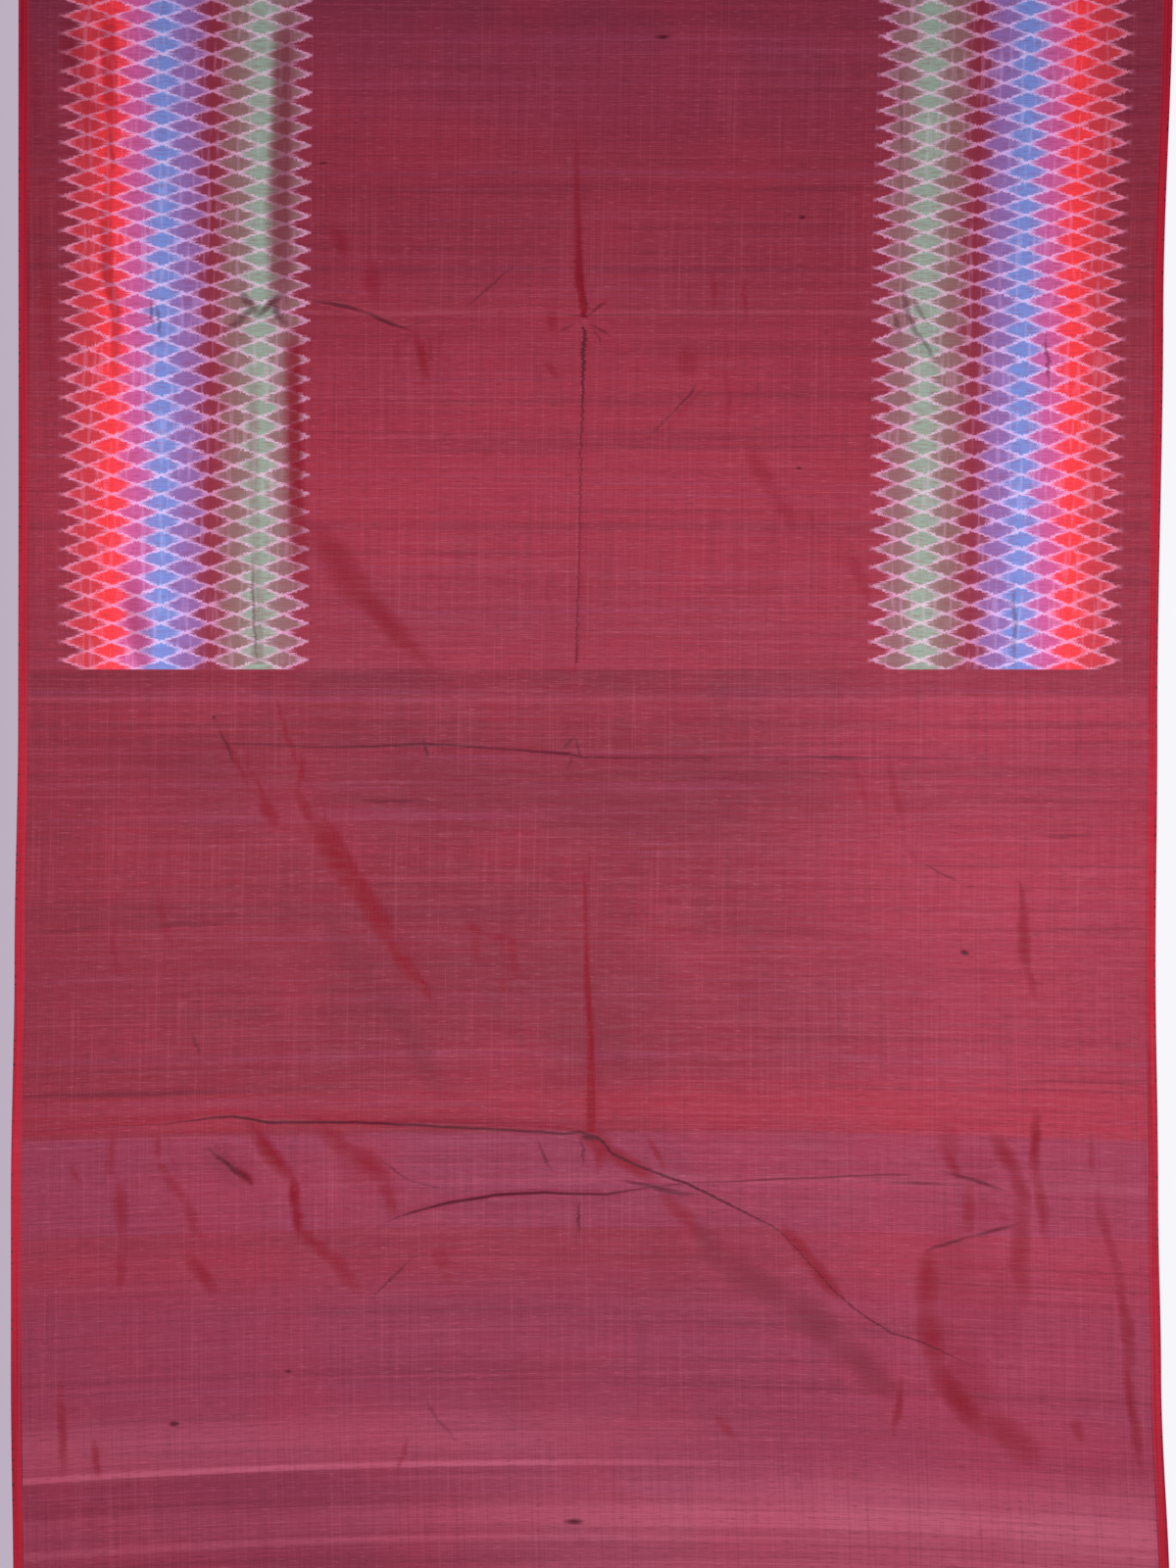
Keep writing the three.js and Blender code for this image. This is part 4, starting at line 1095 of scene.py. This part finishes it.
def weft_bands(nodes, place, ground, bands):
    """The ground with bands across it: bands of other weft, and bands of painted shade and sheen."""
    u, length = place
    down = nodes.math("SUBTRACT", FRONT_DROP, length)
    tone = ground
    towards_right = nodes.step(*RIGHT_FADE, u)
    towards_left = nodes.step(*LEFT_FADE, u, 1.0, 0.0)
    for band in rows_of(BAND_COLUMNS, bands):
        soft = band["softness"] / 2
        begun = nodes.step(band["start"] - soft, band["start"] + soft, down)
        ended = nodes.step(band["end"] - soft, band["end"] + soft, down, band["strength"], 0.0)
        share = nodes.math("MULTIPLY", begun, ended)
        if band["side"]:
            share = nodes.math("MULTIPLY", share, towards_right if band["side"] > 0 else towards_left)
        tone = nodes.blend(share, tone, band["colour"])
    return tone


def body_zones(nodes, place):
    return weft_bands(nodes, place, GROUND, BODY_WEFTS_AND_SHADE)


def blouse_zones(nodes, place):
    """The blouse piece's deeper ground with its brighter right side, painted light, and its bands of weft and
    of painted sheen and shade.
    """
    ground = nodes.blend(nodes.step(*BLOUSE_LEFT_TURN, place[0]), BLOUSE_GROUND, BLOUSE_MIDDLE)
    ground = nodes.blend(nodes.step(*BLOUSE_RIGHT_TURN, place[0]), ground, BLOUSE_RIGHT)
    return weft_bands(nodes, place, ground, BLOUSE_WEFTS_AND_SHEEN)


def selvedge_pattern(nodes, place, ground):
    """The crimson selvedge: a dark cord at the edge, bitten by the weft's turns, and a soft inner side."""
    from_edge = nodes.math("MINIMUM", place[0], nodes.math("SUBTRACT", CLOTH_WIDTH, place[0]))
    cords = nodes.noise(place, 0.0016, 0.30, detail=1.0, offset=270.0)
    turns = nodes.noise(place, 0.10, 0.004, detail=1.0, offset=290.0)
    red = nodes.blend(nodes.step(0.0065, 0.0112, from_edge, 0.90, 0.15), ground, SELVEDGE_RED)
    red = nodes.blend(nodes.step(0.55, 0.30, cords, 0.0, 0.45), red, DARK_FOLD_SHADE_AND_CORDS)
    near_edge = nodes.step(0.0012, 0.0024, from_edge, 1.0, 0.0)
    bitten = nodes.math("MULTIPLY", nodes.step(0.58, 0.70, turns), near_edge)
    red = nodes.blend(nodes.step(0.0005, 0.0013, from_edge, 0.55, 0.0), red, DARK_FOLD_SHADE_AND_CORDS)
    return nodes.blend(bitten, red, DARK_FOLD_SHADE_AND_CORDS)


def pallu_stripes(nodes, place, ground):
    """Plain weft stripes: a broad one at the pallu's start and narrow ones towards its end."""
    along = nodes.math("SUBTRACT", place[1], PALLU_LENGTH_START)
    tone = ground
    for start, width in STRIPES:
        rise = nodes.step(start, start + STRIPE_EDGE, along)
        fall = nodes.step(start + width, start + width + STRIPE_EDGE, along, 1.0, 0.0)
        share = nodes.math("MULTIPLY", nodes.math("MULTIPLY", rise, fall), STRIPE_STRENGTH)
        tone = nodes.blend(share, tone, STRIPE_CRIMSON)
    return tone


# Pieces

HALF_LEG = FOLD_HEIGHT + FOLD_LEG
LEFT_SELVEDGE = (0.0, SELVEDGE_WIDTH)
LEFT_BORDER = (SELVEDGE_WIDTH, BORDER_INNER_EDGE)
FIELD = (BORDER_INNER_EDGE, CLOTH_WIDTH - BORDER_INNER_EDGE)
RIGHT_BORDER = (CLOTH_WIDTH - BORDER_INNER_EDGE, CLOTH_WIDTH - SELVEDGE_WIDTH)
RIGHT_SELVEDGE = (CLOTH_WIDTH - SELVEDGE_WIDTH, CLOTH_WIDTH)
PLAIN = (SELVEDGE_WIDTH, CLOTH_WIDTH - SELVEDGE_WIDTH)
WHOLE = (0.0, CLOTH_WIDTH)

FINE_CELL = 0.0037
FINE_FOLD_CELL = 0.0018
INNER_EVERY = 5
REAR_CELL = 0.012
BACK_CELL = 0.005
NORMAL_STEP = 0.0004
CENTRE_FOLD_U = 0.576
CENTRE_FOLD_REACH = 0.010
CROSS_FOLD_DROPS = (0.347, 0.793, 1.178, 1.240)
CROSS_FOLD_REACH = 0.008
FOLD_ARC_POINTS = 11

# Stretches of a layer: its number, the drops it runs between, and its grid's cell
FRONT_BODY = (0, HALF_LEG, BLOUSE_TOP_DROP, FINE_CELL)
FRONT_END = (0, BLOUSE_TOP_DROP, FRONT_DROP, FINE_CELL)
SECOND = (1, HALF_LEG, BOTTOM_FOLD_DROP - HALF_LEG, REAR_CELL)
THIRD = (2, HALF_LEG, BOTTOM_FOLD_DROP - HALF_LEG, REAR_CELL)
BACK_BODY = (3, HALF_LEG, PALLU_TOP_DROP, BACK_CELL)
BACK_END = (3, PALLU_TOP_DROP, BACK_DROP, BACK_CELL)

# Each piece of the layers, the node of the frame that it replaces, its place and its silk
FRONT_PIECES = [
    ("body_field", "front_body_field", FRONT_BODY, FIELD, "front_field"),
    ("blouse_piece", "front_blouse_piece", FRONT_END, PLAIN, "blouse"),
    ("border_left", "front_border_left", FRONT_BODY, LEFT_BORDER, "front_border"),
    ("body_selvedge_left", "front_body_selvedge_left", FRONT_BODY, LEFT_SELVEDGE, "selvedge"),
    ("blouse_selvedge_left", "front_blouse_selvedge_left", FRONT_END, LEFT_SELVEDGE, "selvedge"),
    ("border_right", "front_border_right", FRONT_BODY, RIGHT_BORDER, "front_border"),
    ("body_selvedge_right", "front_body_selvedge_right", FRONT_BODY, RIGHT_SELVEDGE, "selvedge"),
    ("blouse_selvedge_right", "front_blouse_selvedge_right", FRONT_END, RIGHT_SELVEDGE, "selvedge"),
]
MIDDLE_PIECES = [
    ("cloth_second_layer", "second_layer", SECOND, WHOLE, "folded"),
    ("cloth_third_layer", "third_layer", THIRD, WHOLE, "folded"),
]
BACK_PIECES = [
    ("rear_field", "back_body_field", BACK_BODY, FIELD, "rear_field"),
    ("rear_pallu", "back_pallu", BACK_END, PLAIN, "pallu"),
    ("rear_border_left", "back_border_left", BACK_BODY, LEFT_BORDER, "rear_border"),
    ("rear_selvedge_left", "back_body_selvedge_left", BACK_BODY, LEFT_SELVEDGE, "selvedge"),
    ("pallu_selvedge_left", "back_pallu_selvedge_left", BACK_END, LEFT_SELVEDGE, "selvedge"),
    ("rear_border_right", "back_border_right", BACK_BODY, RIGHT_BORDER, "rear_border"),
    ("rear_selvedge_right", "back_body_selvedge_right", BACK_BODY, RIGHT_SELVEDGE, "selvedge"),
    ("pallu_selvedge_right", "back_pallu_selvedge_right", BACK_END, RIGHT_SELVEDGE, "selvedge"),
]


def across_lines(span, cell):
    if cell > FINE_CELL:
        return graded_lines(*span, cell)
    return graded_lines(*span, cell, FINE_FOLD_CELL, (CENTRE_FOLD_U,), CENTRE_FOLD_REACH)


def layer_piece(name, node_name, stretch, span, silk):
    """A stretch of one layer between two drops, over a span of the cloth's width."""
    index, top, bottom, cell = stretch
    slot, material = silk
    downwards = 1 if index % 2 else -1
    start = (SECOND_TOP_LENGTH, BACK_TOP_LENGTH)[index // 2]
    centres = [-drop for drop in CROSS_FOLD_DROPS] if index == 0 else ()
    first, last = sorted((downwards * top, downwards * bottom))
    v_lines = graded_lines(first, last, cell, FINE_FOLD_CELL, centres, CROSS_FOLD_REACH)

    def point_at(u, v):
        return point_on_layer(index, u, downwards * v)

    def length_at(v):
        return start + v

    every = INNER_EVERY if index in (0, len(LAYERS)) else 1
    piece = make_cloth(name, point_at, length_at, across_lines(span, cell), v_lines, material, every)
    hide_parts(node_name)


def fold_piece(name, index, turn_drop, direction, start_length, silk, cell):
    """A fold over the whole width, from one layer to the next."""
    slot, material = silk
    arc = np.linspace(0, math.pi * FOLD_HEIGHT, FOLD_ARC_POINTS)
    leg = [-FOLD_LEG, -FOLD_LEG / 2]
    v_lines = np.concatenate([leg, arc, [arc[-1] - place for place in reversed(leg)]])

    def point_at(u, v):
        return point_on_fold(index, turn_drop, direction, u, v)

    def length_at(v):
        return start_length + v - arc[-1] / 2

    piece = make_cloth(f"cloth_{name}", point_at, length_at, across_lines(WHOLE, cell), v_lines, material)
    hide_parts(name)


# The field's material has painted crease shades only this far across the cloth, and each stretch has them a
# little past its ends. The back has only those that are at least so strong.
FIELD_MARKS = (0.26, 0.92)
BODY_MARGIN = 0.004
END_MARGIN = 0.010
REAR_WEAKEST = 0.6


def make_silks():
    """The slot and the silk of each kind of piece. The back shows the stronger painted crease shades alone,
    mirrored.
    """
    body_length = (BLOUSE_LENGTH - BODY_MARGIN, SECOND_TOP_LENGTH)
    pallu_place = SECOND_TOP_LENGTH - PALLU_TOP_DROP
    rear_length = (pallu_place - END_MARGIN, SECOND_TOP_LENGTH)
    front_field = {"u": FIELD_MARKS, "length": body_length, "weakest": 0.0}
    front_borders = {"u": WHOLE, "length": body_length, "weakest": 0.0}
    front_end = {"u": WHOLE, "length": (0.0, BLOUSE_LENGTH + END_MARGIN), "weakest": 0.0}
    rear_field = {"u": FIELD_MARKS, "length": rear_length, "weakest": REAR_WEAKEST}
    rear_end = {"u": WHOLE, "length": (0.0, pallu_place + END_MARGIN), "weakest": REAR_WEAKEST}
    field = silk_material("creased_body_silk", body_zones, None, front_field)
    border = silk_material("creased_lozenge_silk", body_zones, lozenge_border, front_borders)
    blouse = silk_material("creased_blouse_silk", blouse_zones, None, front_end)
    back = silk_material("rear_body_silk", None, None, rear_field, behind=True)
    pallu = silk_material("rear_pallu_silk", None, pallu_stripes, rear_end, behind=True)
    smooth_border = silk_material("lozenge_silk", None, lozenge_border)
    selvedge = silk_material("crimson_selvedge_silk", None, selvedge_pattern)
    return {
        "front_field": ("shot_silk", field),
        "front_border": ("ikat_border", border),
        "blouse": ("blouse_silk", blouse),
        "rear_field": ("shot_silk", back),
        "rear_border": ("ikat_border", smooth_border),
        "pallu": ("pallu_silk", pallu),
        "folded": ("shot_silk", smooth_border),
        "selvedge": ("selvedge_silk", selvedge),
    }


# Studio

FLOOR_Z = -1.95
FLOOR_RADIUS = 1.4
FLOOR_SIDES = 128
FLOOR_PALE = colour(226, 220, 226)
FLOOR_ROUGHNESS = 0.9
WALL_LEFT = colour(186, 172, 190)
WALL_RIGHT = colour(249, 248, 253)
ROOM = colour(168, 162, 172)
LAMP_WHITE = (1.0, 0.97, 0.98)
LAMP_COLUMNS = ("name", "place", "target", "width", "height", "watts", "spread")
LAMPS = [
    ("front_softbox", (0.2, -3.4, -1.15), (0.0, 0.0, -0.95), 2.2, 1.1, 20, 60),
    ("rear_softbox", (-0.6, 3.4, -0.6), (0.0, 0.0, -0.85), 1.6, 2.0, 30, 120),
]


def make_floor():
    place = (0, 0, FLOOR_Z)
    bpy.ops.mesh.primitive_circle_add(
        vertices=FLOOR_SIDES, radius=FLOOR_RADIUS, fill_type="NGON", location=place
    )
    floor = bpy.context.object
    floor.name = "floor"
    material = bpy.data.materials.new("pale_floor")
    nodes = Nodes(material)
    shader = nodes.add("ShaderNodeBsdfPrincipled")
    nodes.feed_all(shader, Base_Color=FLOOR_PALE, Roughness=FLOOR_ROUGHNESS)
    output = nodes.add("ShaderNodeOutputMaterial")
    nodes.feed_all(output, Surface=shader.outputs[0])
    floor.data.materials.append(material)


def make_softbox(lamp):
    light = bpy.data.lights.new(lamp["name"], "AREA")
    light.shape = "RECTANGLE"
    light.size = lamp["width"]
    light.size_y = lamp["height"]
    light.energy = lamp["watts"]
    light.color = LAMP_WHITE
    light.spread = math.radians(lamp["spread"])
    box = bpy.data.objects.new(lamp["name"], light)
    bpy.context.collection.objects.link(box)
    box.location = lamp["place"]
    direction = Vector(lamp["target"]) - Vector(lamp["place"])
    box.rotation_euler = direction.to_track_quat("-Z", "Y").to_euler()
    box.visible_camera = False


def make_room():
    """The plain wall behind the cloth, darker on its left, and the dim room in front of it."""
    world = bpy.context.scene.world or bpy.data.worlds.new("studio")
    bpy.context.scene.world = world
    nodes = Nodes(world)
    direction = nodes.add("ShaderNodeTexCoord").outputs["Generated"]
    split = nodes.add("ShaderNodeSeparateXYZ")
    nodes.feed(split.inputs[0], direction)
    wall = nodes.blend(nodes.step(-0.20, 0.20, split.outputs["X"]), WALL_LEFT, WALL_RIGHT)
    tone = nodes.blend(nodes.step(-0.10, 0.80, split.outputs["Y"]), ROOM, wall)
    background = nodes.add("ShaderNodeBackground")
    nodes.feed_all(background, Color=tone)
    output = nodes.add("ShaderNodeOutputWorld")
    nodes.feed_all(output, Surface=background.outputs[0])


def make_camera():
    camera = bpy.data.cameras.new("camera")
    camera.lens = LENS_MM
    camera.sensor_width = SENSOR_MM
    camera.sensor_fit = "AUTO"
    seen_height = PHOTO_HEIGHT_PX * MM_PER_PX / 1000
    distance = seen_height * LENS_MM / SENSOR_MM
    eye = bpy.data.objects.new("camera", camera)
    bpy.context.collection.objects.link(eye)
    eye.location = (PHOTO_CENTRE_X, FRONT_LAYER_Y - distance, PHOTO_CENTRE_Z)
    eye.rotation_euler = (math.radians(90), 0, 0)
    bpy.context.scene.camera = eye


def make_pieces(table, silks):
    for name, node_name, stretch, span, silk in table:
        layer_piece(name, node_name, stretch, span, silks[silk])


def main():
    bpy.context.scene.view_settings.view_transform = "Standard"
    silks = make_silks()
    folded = silks["folded"]
    make_camera()
    make_pieces(FRONT_PIECES, silks)
    fold_piece("top_fold_front", 0, 0.0, 1, SECOND_TOP_LENGTH, folded, FINE_CELL)
    make_pieces(MIDDLE_PIECES, silks)
    fold_piece("bottom_fold", 1, BOTTOM_FOLD_DROP, -1, THIRD_BOTTOM_LENGTH, folded, REAR_CELL)
    fold_piece("top_fold_back", 2, 0.0, 1, BACK_TOP_LENGTH, folded, REAR_CELL)
    make_pieces(BACK_PIECES, silks)
    make_floor()
    make_room()
    for lamp in rows_of(LAMP_COLUMNS, LAMPS):
        make_softbox(lamp)


main()
